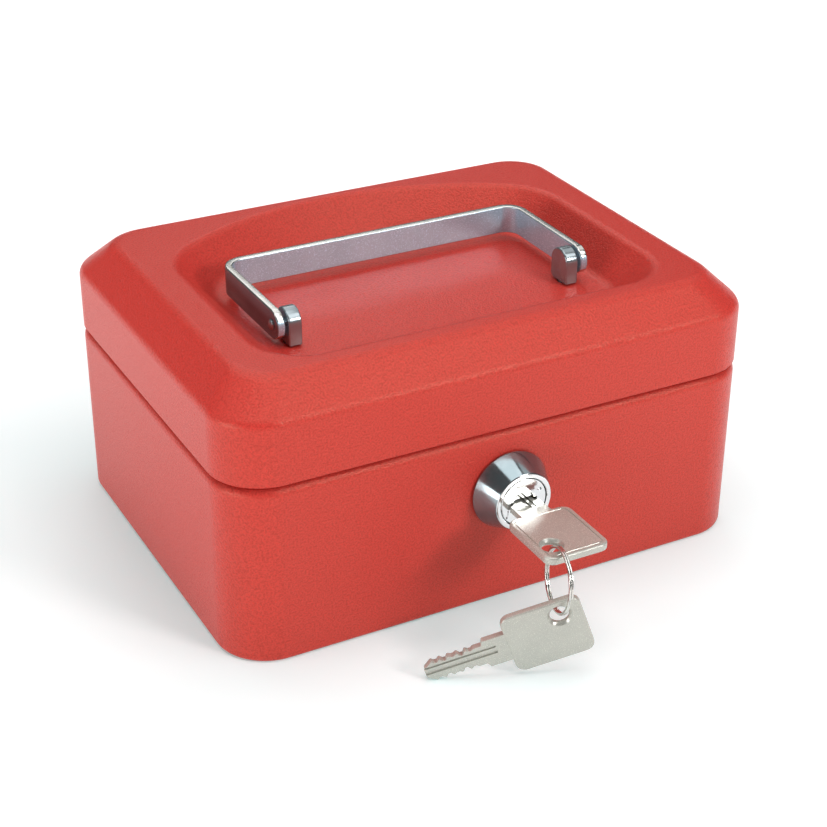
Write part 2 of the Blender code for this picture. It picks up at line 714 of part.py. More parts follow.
def wafer_spring(index):
    """Tiny coil in the wafer's notch, pressing it across the plug."""
    side = 1 if index % 2 else -1
    turns = 2.5
    per_turn = 8
    coil_radius = 0.35 * MM
    coil_z = LOCK_Z + 0.68 * WAFER_HIGH
    start = SPRING_SEAT + 0.15 * MM
    length = 1.25 * MM
    wire = bpy.data.curves.new("wafer_spring_%d" % (index + 1), "CURVE")
    wire.dimensions = "3D"
    wire.bevel_depth = 0.09 * MM
    wire.bevel_resolution = 0
    wire.use_fill_caps = True
    spline = wire.splines.new("POLY")
    count = int(turns * per_turn) + 1
    spline.points.add(count - 1)
    for i in range(count):
        angle = 2 * math.pi * i / per_turn
        x = side * (start + length * i / (count - 1))
        y = wafer_y(index) + coil_radius * math.cos(angle)
        z = coil_z + coil_radius * math.sin(angle)
        spline.points[i].co = (x, y, z, 1)
    guide = bpy.data.objects.new("guide", wire)
    bpy.context.scene.collection.objects.link(guide)
    graph = bpy.context.evaluated_depsgraph_get()
    bm = bmesh.new()
    bm.from_mesh(bpy.data.meshes.new_from_object(guide.evaluated_get(graph)))
    bmesh.ops.remove_doubles(bm, verts=bm.verts, dist=0.001 * MM)
    bpy.data.objects.remove(guide, do_unlink=True)
    return finish_mesh("wafer_spring_%d" % (index + 1), bm, satin_steel())


def lock_cam():
    """Flat arm on the plug's square end, upright when unlocked."""
    half = CAM_WIDTH / 2
    tip_x = half - CAM_TIP_RADIUS
    tip_z = LOCK_Z + CAM_LENGTH - CAM_TIP_RADIUS
    outline = arc((0, LOCK_Z), half, 180, 360, 10)
    outline += arc((tip_x, tip_z), CAM_TIP_RADIUS, 0, 90, 3)
    outline += arc((-tip_x, tip_z), CAM_TIP_RADIUS, 90, 180, 3)
    cam = extruded("lock_cam", outline, CAM_Y, CAM_Y + CAM_THICKNESS, zinc_steel(), "Y")
    hole = DRIVE_SIDE / 2 + GAP
    square = block("square", (-hole, CAM_Y - MM, LOCK_Z - hole),
                   (hole, CAM_Y + CAM_THICKNESS + MM, LOCK_Z + hole), zinc_steel())
    return cut(cam, square)


def cam_screw():
    """Screw with a chamfered head and a cross recess, holding the cam on the plug."""
    under = CAM_Y + CAM_THICKNESS + GAP
    top = under + SCREW_HEAD_HEIGHT
    edge = 0.8 * MM
    profile = [(0, -top), (SCREW_HEAD_RADIUS - 1.5 * edge, -top), (SCREW_HEAD_RADIUS, edge - top),
               (SCREW_HEAD_RADIUS, -under), (SCREW_SHANK_RADIUS, -under),
               (SCREW_SHANK_RADIUS, SCREW_SHANK_LENGTH - under), (0, SCREW_SHANK_LENGTH - under)]
    screw = along_lock(turned("cam_screw", profile, zinc_steel(), 20), 0)
    cross = []
    for width, height in ((0.4 * MM, 2.2 * MM), (2.2 * MM, 0.4 * MM)):
        cross.append(block("drive_recess", (-width, under + SCREW_HEAD_HEIGHT / 2, LOCK_Z - height),
                           (width, top + MM, LOCK_Z + height), zinc_steel()))
    return cut(screw, *cross)


# Keys and ring ------------------------------------------------------------


def blade_outline():
    """Blade's outline from the bow to the tip, with cuts along both edges."""
    bow_x = KEY_LENGTH - BOW_LENGTH
    edge_y = BLADE_WIDTH / 2
    edge = [(bow_x + MM, NECK_WIDTH / 2), (bow_x - NECK_LENGTH, NECK_WIDTH / 2),
            (bow_x - NECK_LENGTH - 0.6 * MM, edge_y)]
    for index, depth in enumerate(BLADE_CUTS):
        middle = bow_x - FIRST_CUT - index * CUT_PITCH
        edge += [(middle + 0.9 * MM, edge_y), (middle + 0.3 * MM, edge_y - depth),
                 (middle - 0.3 * MM, edge_y - depth), (middle - 0.9 * MM, edge_y)]
    edge.append((CUT_PITCH, edge_y))
    edge.append((0, edge_y / 3))
    return edge + [(x, -y) for x, y in reversed(edge)]


def key(name):
    """Key along +X from its tip, its hole on the +Y side, flat in the XY plane."""
    bow_x = KEY_LENGTH - BOW_LENGTH
    half = BOW_WIDTH / 2
    thick = KEY_THICKNESS / 2
    inner = half - BOW_RADIUS
    right = KEY_LENGTH - BOW_RADIUS
    left = bow_x + BOW_RADIUS
    outline = arc((right, inner), BOW_RADIUS, 0, 90, 4)
    outline += arc((left, inner), BOW_RADIUS, 90, 180, 4)
    outline += arc((left, -inner), BOW_RADIUS, 180, 270, 4)
    outline += arc((right, -inner), BOW_RADIUS, 270, 360, 4)
    bow = extruded(name, outline, -thick, thick, nickel())
    blade = extruded("blade", blade_outline(), -BLADE_THICKNESS / 2, BLADE_THICKNESS / 2, nickel())
    grooves = []
    for level in (-1, 1):
        low, high = sorted((level * BLADE_WEB / 2, level * KEY_THICKNESS))
        grooves.append(block("groove", (-MM, -BLADE_GROOVE_WIDTH / 2, low),
                             (bow_x - NECK_LENGTH / 2, BLADE_GROOVE_WIDTH / 2, high), nickel()))
    hole_x = KEY_LENGTH - KEY_HOLE_FROM_END
    hole_y = half - KEY_HOLE_FROM_SIDE
    hole = rod("hole", KEY_HOLE_RADIUS, (hole_x, hole_y, -KEY_THICKNESS), (hole_x, hole_y, KEY_THICKNESS),
               nickel(), 24)
    return cut(join(bow, blade), hole, *grooves)


def place_key_in_lock():
    made = key("key_in_lock")
    turn = Matrix(((0, -1, 0), (-1, 0, 0), (0, 0, -1))).to_4x4()
    tip = Vector((0, KEY_BOW_Y + KEY_LENGTH - BOW_LENGTH, KEY_Z))
    made.data.transform(Matrix.Translation(tip) @ turn)
    return made


def spare_axes():
    """Directions of the spare key's length, its width and its flat face."""
    along = Vector((math.cos(SPARE_YAW) * math.cos(SPARE_PITCH),
                    math.sin(SPARE_YAW) * math.cos(SPARE_PITCH), math.sin(SPARE_PITCH)))
    level = Vector((0, 0, 1)).cross(along).normalized()
    upward = along.cross(level)
    across = upward * math.cos(SPARE_LEAN) + level * math.sin(SPARE_LEAN)
    return along, across, along.cross(across)


def place_spare_key():
    made = key("spare_key")
    along, across, normal = spare_axes()
    turn = Matrix((along, across, normal)).transposed().to_4x4()
    made.data.transform(Matrix.Translation(SPARE_TIP) @ turn)
    return made


def key_ring():
    section = []
    for i in range(8):
        angle = math.radians(45 * i + 22.5)
        section.append((RING_RADIUS + RING_WIRE_RADIUS * math.cos(angle), RING_WIRE_RADIUS * math.sin(angle)))
    ring = turned("key_ring", section, nickel(), 40, closed=True)
    turn = RING_NORMAL.to_track_quat("Z", "Y").to_matrix().to_4x4()
    ring.data.transform(Matrix.Translation(RING_CENTRE) @ turn)
    return ring


def ring_point(target):
    """The point of the ring's centre line nearest to a place."""
    reach = Vector(target) - RING_CENTRE
    reach -= RING_NORMAL * reach.dot(RING_NORMAL)
    return RING_CENTRE + reach.normalized() * RING_RADIUS


# Coin tray ----------------------------------------------------------------


def tray_cup(low_x, high_x, low_y, high_y):
    """Cutter for one compartment: rounded corners and a rolled bottom edge."""
    roll = CUP_ROLL
    floor = TRAY_FLOOR_Z + TRAY_WALL
    rings = []
    for inset, z in arc((roll, floor + roll), roll, 270, 180, 3) + [(0, TRAY_LIP_Z + roll)]:
        corner = CUP_CORNER_RADIUS - inset * 0.8
        points = []
        corners = ((high_x, low_y, -90), (high_x, high_y, 0), (low_x, high_y, 90), (low_x, low_y, 180))
        for x, y, start in corners:
            shift = inset + corner
            centre_x = x - shift if x == high_x else x + shift
            centre_y = y - shift if y == high_y else y + shift
            points += arc((centre_x, centre_y), corner, start, start + 90, 3)
        rings.append([(x, y, z) for x, y in points])
    return loft("cup", rings, tray_plastic())


def coin_tray():
    """Moulded tray hung by its lip on the case's flange, with coin cups and a long bay."""
    wall = TRAY_WALL
    outline = plan(TRAY_HALF_WIDTH, TRAY_FRONT_Y, TRAY_BACK_Y, TRAY_FRONT_RADIUS, TRAY_BACK_RADIUS)
    tray = extruded("coin_tray", outline, TRAY_FLOOR_Z, TRAY_LIP_Z + TRAY_LIP_THICKNESS, tray_plastic())
    half_x = WIDTH / 2 - TRAY_LIP_INSET
    lip_outline = plan(half_x, TRAY_FRONT_Y, DEPTH / 2 - TRAY_LIP_INSET, TRAY_LIP_FRONT_RADIUS,
                       CORNER_RADIUS - TRAY_LIP_INSET)
    lip = extruded("lip", lip_outline, TRAY_LIP_Z, TRAY_LIP_Z + TRAY_LIP_THICKNESS - 0.1 * MM,
                   tray_plastic())
    inner_x = TRAY_HALF_WIDTH - wall
    pitch = (2 * inner_x + wall) / COIN_CUPS
    cups = [tray_cup(-inner_x, inner_x, TRAY_SPLIT_Y + wall / 2, TRAY_BACK_Y - wall)]
    for index in range(COIN_CUPS):
        start = -inner_x + index * pitch
        cups.append(tray_cup(start, start + pitch - wall, TRAY_FRONT_Y + wall, TRAY_SPLIT_Y - wall / 2))
    return cut(join(tray, lip), *cups)


# Assembly -----------------------------------------------------------------


def build():
    clear_scene()
    lock_origin = (0, -DEPTH / 2, LOCK_Z)
    lid_axis = axis_empty("lid_axis", (0, HINGE_Y, HINGE_Z))
    handle_axis = axis_empty("handle_axis", (HANDLE_X, PIVOT_Y, PIVOT_Z), lid_axis)
    plug_axis = axis_empty("plug_axis", lock_origin)
    key_axis = axis_empty("key_axis", (0, KEY_BOW_Y, KEY_Z), plug_axis)
    first_hole = (-BOW_WIDTH / 2 + KEY_HOLE_FROM_SIDE, KEY_BOW_Y - BOW_LENGTH + KEY_HOLE_FROM_END, KEY_Z)
    ring_pivot = ring_point(first_hole)
    ring_axis = axis_empty("ring_axis", ring_pivot, key_axis)
    along, across, _ = spare_axes()
    spare_hole = (SPARE_TIP + along * (KEY_LENGTH - KEY_HOLE_FROM_END)
                  + across * (BOW_WIDTH / 2 - KEY_HOLE_FROM_SIDE))
    spare_pivot = ring_point(spare_hole)
    spare_axis = axis_empty("spare_axis", spare_pivot, ring_axis)

    attach(box_shell(), None, (0, 0, 0))
    attach(coin_tray(), None, (0, 0, TRAY_FLOOR_Z))
    attach(lock_housing(), None, lock_origin)
    attach(lock_nut(), None, lock_origin)
    attach(lid_shell(), lid_axis, (0, HINGE_Y, HINGE_Z))
    attach(lid_catch(), lid_axis, (0, HINGE_Y, HINGE_Z))
    for name, side in (("left", -1), ("right", 1)):
        body_leaf, lid_leaf, pin = hinge(side, name)
        attach(body_leaf, None, (side * HINGE_X, HINGE_Y, HINGE_Z))
        attach(pin, None, (side * HINGE_X, HINGE_Y, HINGE_Z))
        attach(lid_leaf, lid_axis, (side * HINGE_X, HINGE_Y, HINGE_Z))
        attach(handle_bracket(name, side), lid_axis, (HANDLE_X + side * BRACKET_INNER_X, PIVOT_Y, PIVOT_Z))
        attach(bracket_washer(name, side), lid_axis, (HANDLE_X + side * BRACKET_INNER_X, PIVOT_Y, DISH_FLOOR_Z))
        attach(pivot_pin(name, side), lid_axis, (HANDLE_X + side * ARM_OUTER_X, PIVOT_Y, PIVOT_Z))
    attach(handle_bail(), handle_axis, (HANDLE_X, PIVOT_Y, PIVOT_Z))
    attach(lock_plug(), plug_axis, lock_origin)
    attach(lock_cam(), plug_axis, lock_origin)
    attach(cam_screw(), plug_axis, lock_origin)
    for index in range(WAFER_COUNT):
        attach(lock_wafer(index), plug_axis, (0, wafer_y(index), LOCK_Z))
        attach(wafer_spring(index), plug_axis, (0, wafer_y(index), LOCK_Z))
    attach(place_key_in_lock(), key_axis, (0, KEY_BOW_Y, KEY_Z))
    attach(key_ring(), ring_axis, ring_pivot)
    attach(place_spare_key(), spare_axis, spare_pivot)


build()
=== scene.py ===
"""Looks of a small steel cash box: fine meshes, materials, light and camera.

Lengths are in metres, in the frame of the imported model: +X to the right seen
from the lock, -Y towards the lock side, +Z up.
"""

import json
import math

import bmesh
import bpy
import numpy as np
from mathutils import Matrix, Vector


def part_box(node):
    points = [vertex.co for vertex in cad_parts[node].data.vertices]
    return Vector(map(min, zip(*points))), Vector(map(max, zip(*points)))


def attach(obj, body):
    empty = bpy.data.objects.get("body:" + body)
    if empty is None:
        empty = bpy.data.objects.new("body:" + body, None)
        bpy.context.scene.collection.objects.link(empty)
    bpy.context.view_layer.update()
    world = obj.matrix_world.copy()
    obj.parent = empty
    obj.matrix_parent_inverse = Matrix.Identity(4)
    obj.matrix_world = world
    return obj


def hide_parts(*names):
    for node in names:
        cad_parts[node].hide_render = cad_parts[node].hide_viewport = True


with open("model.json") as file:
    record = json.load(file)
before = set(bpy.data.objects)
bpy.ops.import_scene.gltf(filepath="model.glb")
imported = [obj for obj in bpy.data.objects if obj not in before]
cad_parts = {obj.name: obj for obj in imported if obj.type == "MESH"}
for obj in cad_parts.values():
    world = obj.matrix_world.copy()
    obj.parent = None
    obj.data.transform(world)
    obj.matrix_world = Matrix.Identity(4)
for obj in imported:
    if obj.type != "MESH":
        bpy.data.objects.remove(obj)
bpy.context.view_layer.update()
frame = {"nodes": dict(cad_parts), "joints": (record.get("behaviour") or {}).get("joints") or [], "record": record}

MM = 0.001
GAP = 0.3 * MM

joints = {joint["name"]: joint for joint in frame["joints"]}
PIVOT = Vector(joints["handle_swing"]["pos_m"])
HINGE = Vector(joints["lid_hinge"]["pos_m"])
LOCK = Vector(joints["plug_turn"]["pos_m"])

# Case and lid
CASE_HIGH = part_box("box_shell")[1]
LID_LOW, LID_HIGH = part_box("lid_shell")
WALL = 0.8 * MM
CORNER_RADIUS = 14 * MM
BASE_EDGE_RADIUS = 1.3 * MM
SHOULDER_RADIUS = 2.6 * MM
SHOULDER_BASE_Z = 47.2 * MM
FLANGE_INSET = 1.7 * MM
CHAMFER_INSET = 8.5 * MM
CHAMFER_EDGE_RADIUS = 3.5 * MM
RIM_EDGE_RADIUS = 5 * MM
CHAMFER_CORNER_TAPER = 0.4

# Fineness of the meshes
EDGE_ANGLE = math.radians(35)
LOCK_EDGE_ANGLE = math.radians(30)
CORNER_STEPS = 18
BACK_POINTS = 24
ARC_STEPS = 8
HALF_ROUND_STEPS = 24
SMALL_STEPS = 48

# Dish in the lid
DISH_HALF_WIDTH = 59.6 * MM
DISH_FRONT_Y = -45.4 * MM
DISH_BACK_Y = 47.3 * MM
DISH_FRONT_RADIUS = 15.5 * MM
DISH_BACK_RADIUS = 22 * MM
DISH_CROWN_RADIUS = 94 * MM
DISH_LIP_RADIUS = 3.5 * MM
DISH_FOOT_RADIUS = 4 * MM
DISH_DEPTH = 9.2 * MM
DISH_CORNER_TAPER = 0.5
SLOPE = math.radians(45)

# Handle
BEND_RADIUS = 6 * MM
STRIP_THICKNESS = 2.1 * MM
POST_WIDTH = 3.7 * MM
PIN_RADIUS = 1.1 * MM
PIN_HEAD_RADIUS = 1.5 * MM
SHANK_RADIUS = 1.6 * MM
SHANK_HEAD_RADIUS = 3.0 * MM
PIN_HEAD_HEIGHT = 0.7 * MM
PIN_CLEARANCE = 0.12 * MM
STRIP_EDGE_RADIUS = 0.4 * MM
POST_EDGE_RADIUS = 0.45 * MM

# Hinges
HINGE_SHEET = 0.8 * MM
LID_KNUCKLE_HALF = 3.9 * MM
HINGE_BORE_RADIUS = 0.92 * MM

# Lock
CONE_FACE_RADIUS = 8.1 * MM
CONE_LENGTH = 7.4 * MM
BARREL_RADIUS = 7.4 * MM
PLUG_HEAD_RADIUS = 6.6 * MM
PLUG_BODY_RADIUS = 5.6 * MM
HEAD_DEPTH = 2.3 * MM
KEYWAY_WIDTH = 7.8 * MM
KEYWAY_HEIGHT = 2.9 * MM
KEYWAY_DEPTH = 14 * MM
DRIVE_SIDE = 5 * MM
PLUG_CLEARANCE = 0.12 * MM
PLUG_BODY_END = 47.0 * MM
ARCH_RADIUS = 3.0 * MM
ARCH_DEPTH = 0.9 * MM
CAM_TIP_RADIUS = 2 * MM
# Stamped pits in the plug's face: x and z from its middle in mm, lean, width and height
PITS = ((4.0, 3.0, 35, 1.3, 0.55), (-4.7, -2.6, 8, 0.35, 1.3))

# Keys
KEY_THICKNESS = 2.0 * MM
BOW_LENGTH = 20.3 * MM
BOW_RADIUS = 2.6 * MM
KEY_HOLE_RADIUS = 2.4 * MM
KEY_HOLE_FROM_END = 5.8 * MM
KEY_HOLE_FROM_SIDE = 4.3 * MM
NECK_WIDTH = 8.6 * MM
NECK_LENGTH = 5.6 * MM
BLADE_WIDTH = 6.0 * MM
BLADE_THICKNESS = 1.7 * MM
BLADE_CUTS = (0.5 * MM, 0.95 * MM, 0.35 * MM, 0.8 * MM, 0.6 * MM)
FIRST_CUT = 9.2 * MM
CUT_PITCH = 2.2 * MM
KEY_EDGE_RADIUS = 0.45 * MM
KEY_HOLE_FLARE = 0.75 * MM
FRAME_LINE_INSET = 1.15 * MM
RING_RADIUS = 8.1 * MM
RING_LIFT = 0.29 * MM
WIRE_HALF_WIDTH = 0.40 * MM
WIRE_HALF_THICKNESS = 0.26 * MM
WIRE_CORNER_RADIUS = 0.16 * MM
RING_CROSSING = math.radians(50)
RING_STEPS = 200
SPARE_TIP = Vector((-36.1, -80.7, 2.2)) * MM
SPARE_YAW = math.radians(-23.5)
SPARE_PITCH = math.radians(19.2)
SPARE_LEAN = math.radians(-5.3)

# Coin tray
TRAY_WALL = 1.6 * MM
TRAY_SPLIT_Y = 9 * MM
TRAY_FRONT_RADIUS = 6 * MM
TRAY_BACK_RADIUS = 9 * MM
TRAY_LIP_THICKNESS = 1.2 * MM
TRAY_LIP_FRONT_RADIUS = 3 * MM
COIN_CUPS = 4
CUP_CORNER_RADIUS = 6 * MM
CUP_ROLL = 5 * MM
TRAY_BODY_HALF_WIDTH = 71.5 * MM
TRAY_BODY_BACK_Y = 53.4 * MM

# Studio: each light's name, azimuth and elevation in degrees, distance, width, height, watts
LIGHTS = (
    ("key_light", 28, 27, 1.5, 0.34, 0.28, 7.2),
    ("key_fill", 39, 50, 1.5, 0.75, 0.55, 3.8),
    ("left_low", -80, 6, 1.5, 1.0, 0.5, 10),
    ("left_card", -100, 41, 0.6, 0.12, 0.30, 0.22),
    ("top_light", 0, 86, 1.6, 1.2, 1.2, 11.5),
    ("back_light", 180, 55, 1.6, 1.28, 0.8, 4.8),
    ("back_low", 160, 32, 1.6, 0.8, 0.35, 1.5),
    ("right_back", 110, 50, 1.6, 0.96, 0.8, 2.2),
)
LIGHTS_AIM = Vector((0, 0, 0.04))
BACKDROP_STRENGTH = 0.05
FLOOR_SIZE = 8
# The floor's glow: distance from the box's middle in mm, and colour. It is dim near the box,
# a painted shadow round its foot, and white far away; near the box it is cyan, to cancel the
# red light that bounces into the shadow.
FLOOR_GLOW_AND_PAINTED_SHADOW = ((55, (0.03, 0.24, 0.24)), (140, (0.31, 0.43, 0.43)),
        (260, (0.46, 0.47, 0.47)), (1100, (1, 1, 1)))

# Camera
CAMERA_AZIMUTH = math.radians(-28.04)
CAMERA_ELEVATION = math.radians(28.5)
CAMERA_DISTANCE = 509.4 * MM
CAMERA_TARGET = Vector((3.27, 0, 25.6)) * MM
CAMERA_ROLL = math.radians(0.3)
CAMERA_LENS = 78.386


# Meshes -------------------------------------------------------------------


def new_object(name, bm, surface):
    bmesh.ops.recalc_face_normals(bm, faces=bm.faces)
    if bm.calc_volume(signed=True) < 0:
        bmesh.ops.reverse_faces(bm, faces=bm.faces)
    mesh = bpy.data.meshes.new(name)
    bm.to_mesh(mesh)
    bm.free()
    mesh.materials.append(surface)
    mesh.shade_smooth()
    made = bpy.data.objects.new(name, mesh)
    bpy.context.scene.collection.objects.link(made)
    return made


def settle(made):
    """Applies what modifiers a piece has so far."""
    graph = bpy.context.evaluated_depsgraph_get()
    made.data = bpy.data.meshes.new_from_object(made.evaluated_get(graph))
    made.modifiers.clear()
    return made


def boolean(target, tools, operation):
    for tool in tools:
        step = target.modifiers.new("boolean", "BOOLEAN")
        step.solver = "EXACT"
        step.operation = operation
        step.object = tool
    settle(target)
    for tool in tools:
        bpy.data.objects.remove(tool, do_unlink=True)
    return target


def cut(target, *tools):
    return boolean(target, tools, "DIFFERENCE")


def join(target, *tools):
    return boolean(target, tools, "UNION")


def gather(target, *others):
    """Puts other pieces' meshes into the target's, as separate shells."""
    bm = bmesh.new()
    for piece in (target, *others):
        bm.from_mesh(piece.data)
    bm.to_mesh(target.data)
    bm.free()
    for piece in others:
        bpy.data.objects.remove(piece, do_unlink=True)
    return target


def soften(made, width, segments=3):
    """Rounds the edges and settles the rounding into the mesh."""
    step = made.modifiers.new("rounded edges", "BEVEL")
    step.width = width
    step.segments = segments
    step.limit_method = "ANGLE"
    step.angle_limit = EDGE_ANGLE
    step.use_clamp_overlap = True
    return settle(made)


def shade(made, angle=EDGE_ANGLE):
    """Smooth shading that keeps large flat faces flat."""
    made.data.shade_smooth()
    made.data.set_sharp_from_angle(angle=angle)
    step = made.modifiers.new("flat faces stay flat", "WEIGHTED_NORMAL")
    step.keep_sharp = True
    step.weight = 80
    return made


def show(made, body, slot, *nodes):
    """Hands a finished piece to its body and hides the nodes it stands for; the slot is not used."""
    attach(made, body)
    if nodes:
        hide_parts(*nodes)
    return made


def arc(centre, radius, start, end, steps):
    """Points along an arc in a plane, both ends included; angles in degrees."""
    points = []
    for i in range(steps + 1):
        angle = math.radians(start + (end - start) * i / steps)
        points.append((centre[0] + radius * math.cos(angle),
                       centre[1] + radius * math.sin(angle)))
    return points


def plan(half_x, front, back, front_radius, back_radius, crown=0.0):
    """Rounded rectangle seen from above; a crown radius bows its back edge."""
    front_x = half_x - front_radius
    back_x = half_x - back_radius
    if crown:
        back_y = back - crown + math.sqrt((crown - back_radius) ** 2 - back_x**2)
        lean = math.degrees(math.asin(back_x / (crown - back_radius)))
    else:
        back_y = back - back_radius
        lean = 0.0
    points = arc((front_x, front + front_radius), front_radius, -90, 0, CORNER_STEPS)
    points += arc((back_x, back_y), back_radius, 0, 90 - lean, CORNER_STEPS)
    if crown:
        bow = arc((0, back - crown), crown, 90 - lean, 90 + lean, BACK_POINTS + 1)
    else:
        step = 2 * back_x / (BACK_POINTS + 1)
        bow = [(back_x - i * step, back) for i in range(BACK_POINTS + 2)]
    points += bow[1:-1]
    points += arc((-back_x, back_y), back_radius, 90 + lean, 180, CORNER_STEPS)
    points += arc((-front_x, front + front_radius), front_radius, 180, 270, CORNER_STEPS)
    return points


def loft(name, rings, surface):
    """Joins rings of equal length and caps both ends."""
    bm = bmesh.new()
    loops = [[bm.verts.new(point) for point in ring] for ring in rings]
    count = len(rings[0])
    for low, high in zip(loops, loops[1:]):
        for i in range(count):
            j = (i + 1) % count
            bm.faces.new((low[i], low[j], high[j], high[i]))
    bm.faces.new(reversed(loops[0]))
    bm.faces.new(loops[-1])
    return new_object(name, bm, surface)


def turned(name, profile, surface, steps=96, closed=False):
    """Turns a profile of (radius, height) about Z; a closed one makes a ring."""
    bm = bmesh.new()
    rows = []
    for radius, height in profile:
        if radius < 1e-7:
            rows.append([bm.verts.new((0, 0, height))] * steps)
            continue
        row = []
        for i in range(steps):
            angle = 2 * math.pi * i / steps
            x, y = radius * math.cos(angle), radius * math.sin(angle)
            row.append(bm.verts.new((x, y, height)))
        rows.append(row)
    pairs = list(zip(rows, rows[1:]))
    if closed:
        pairs.append((rows[-1], rows[0]))
    for low, high in pairs:
        for i in range(steps):
            j = (i + 1) % steps
            corners = list(dict.fromkeys([low[i], low[j], high[j], high[i]]))
            if len(corners) > 2:
                bm.faces.new(corners)
    return new_object(name, bm, surface)


def extruded(name, outline, low, high, surface, axis="Z"):
    """Extrudes a flat outline between two heights along X, Y or Z."""
    place = {
        "X": lambda u, v, w: (w, u, v),
        "Y": lambda u, v, w: (u, w, v),
        "Z": lambda u, v, w: (u, v, w),
    }[axis]
    rings = [[place(u, v, level) for u, v in outline] for level in (low, high)]
    return loft(name, rings, surface)


def block(name, low, high, surface):
    outline = [(low[0], low[1]), (high[0], low[1]), (high[0], high[1]), (low[0], high[1])]
    return extruded(name, outline, low[2], high[2], surface)


def rod(name, radius, start, end, surface):
    axis = Vector(end) - Vector(start)
    profile = [(0, 0), (radius, 0), (radius, axis.length), (0, axis.length)]
    made = turned(name, profile, surface, SMALL_STEPS)
    turn = axis.to_track_quat("Z", "Y").to_matrix().to_4x4()
    made.data.transform(Matrix.Translation(start) @ turn)
    return made


# Materials ----------------------------------------------------------------


def node(tree, kind, **values):
    made = tree.nodes.new(kind)
    for name, value in values.items():
        if name in made.inputs:
            made.inputs[name].default_value = value
        else:
            setattr(made, name, value)
    return made


def base_material(name, roughness, metallic):
    """A Principled material; returns it with its tree, shader and object coordinates."""
    made = bpy.data.materials.new(name)
    made.use_nodes = True
    tree = made.node_tree
    shader = tree.nodes["Principled BSDF"]
    shader.inputs["Roughness"].default_value = roughness
    shader.inputs["Metallic"].default_value = metallic
    place = node(tree, "ShaderNodeTexCoord").outputs["Object"]
    return made, tree, shader, place


def noise(tree, place, size, detail=2.0):
    """Noise whose blobs are about size metres across."""
    texture = node(tree, "ShaderNodeTexNoise", Scale=1 / size, Detail=detail)
    tree.links.new(place, texture.inputs["Vector"])
    return texture.outputs["Fac"]


def spread(tree, value, low, high, start=0.3, end=0.7):
    """Maps a noise value to a range of numbers."""
    ramp = node(tree, "ShaderNodeMapRange")
    limits = {"From Min": start, "From Max": end, "To Min": low, "To Max": high}
    for name, number in limits.items():
        ramp.inputs[name].default_value = number
    tree.links.new(value, ramp.inputs["Value"])
    return ramp.outputs["Result"]


def tint(tree, value, dark, light):
    """Mixes two colours by a value."""
    mix = node(tree, "ShaderNodeMix", data_type="RGBA")
    mix.inputs[6].default_value = (*dark, 1)
    mix.inputs[7].default_value = (*light, 1)
    tree.links.new(value, mix.inputs["Factor"])
    return mix.outputs[2]


def bump(tree, shader, height, depth, strength):
    """Raises the surface by a height value times depth metres."""
    relief = node(tree, "ShaderNodeBump", Strength=strength, Distance=depth)
    tree.links.new(height, relief.inputs["Height"])
    tree.links.new(relief.outputs["Normal"], shader.inputs["Normal"])


def red_powder_coat():
    """Satin red powder coat: a fine raised grain, lighter and glossier on its crests."""
    made, tree, shader, place = base_material("red_powder_coat", 0.3, 0)
    grain = noise(tree, place, 0.5 * MM)
    troughs, crests = (0.480, 0.0345, 0.0265), (0.690, 0.0570, 0.0443)
    colour = tint(tree, spread(tree, grain, 0, 1), troughs, crests)
    tree.links.new(colour, shader.inputs["Base Color"])
    tree.links.new(spread(tree, grain, 0.40, 0.26), shader.inputs["Roughness"])
    shader.inputs["Specular IOR Level"].default_value = 0.33
    shader.inputs["Specular Tint"].default_value = (1, 0.9, 0.65, 1)
    bump(tree, shader, grain, 0.17 * MM, 0.85)
    return made


def metal(name, dark, light, metallic, roughness, grain_size, grain_depth):
    """Plated metal: colour varies in broad patches, roughness with the fine grain."""
    made, tree, shader, place = base_material(name, roughness, metallic)
    patches = noise(tree, place, 6 * MM, 3)
    colour = tint(tree, spread(tree, patches, 0, 1), dark, light)
    tree.links.new(colour, shader.inputs["Base Color"])
    grain = noise(tree, place, grain_size, 3)
    gloss = spread(tree, grain, roughness * 0.75, roughness * 1.25)
    tree.links.new(gloss, shader.inputs["Roughness"])
    bump(tree, shader, grain, grain_depth, 0.5)
    return made


def tray_plastic():
    """Black moulded plastic with a fine matt texture."""
    made, tree, shader, place = base_material("tray_plastic", 0.5, 0)
    grain = noise(tree, place, 0.4 * MM, 3)
    patches = noise(tree, place, 12 * MM)
    colour = tint(tree, patches, (0.020, 0.020, 0.022), (0.032, 0.032, 0.034))
    tree.links.new(colour, shader.inputs["Base Color"])
    tree.links.new(spread(tree, grain, 0.42, 0.58), shader.inputs["Roughness"])
    bump(tree, shader, grain, 0.03 * MM, 0.5)
    return made


RED = red_powder_coat()
# Each metal: name, darker and lighter colour, metallic, roughness, grain size and depth.
# The cool tints cancel the red that the coat throws on the metal.
SATIN = metal("satin_steel", (0.45, 0.64, 0.76), (0.49, 0.68, 0.80),
              0.42, 0.24, 0.25 * MM, 0.008 * MM)
# A darker copy of the satin steel for the bail's outer and back faces: painted shade.
SHADED_STEEL = metal("painted_shade_steel", (0.17, 0.23, 0.26), (0.21, 0.27, 0.30),
                  0.6, 0.2, 0.3 * MM, 0.005 * MM)
CHROME = metal("chrome", (0.70, 0.71, 0.72), (0.76, 0.77, 0.78),
               1, 0.12, 0.6 * MM, 0.004 * MM)
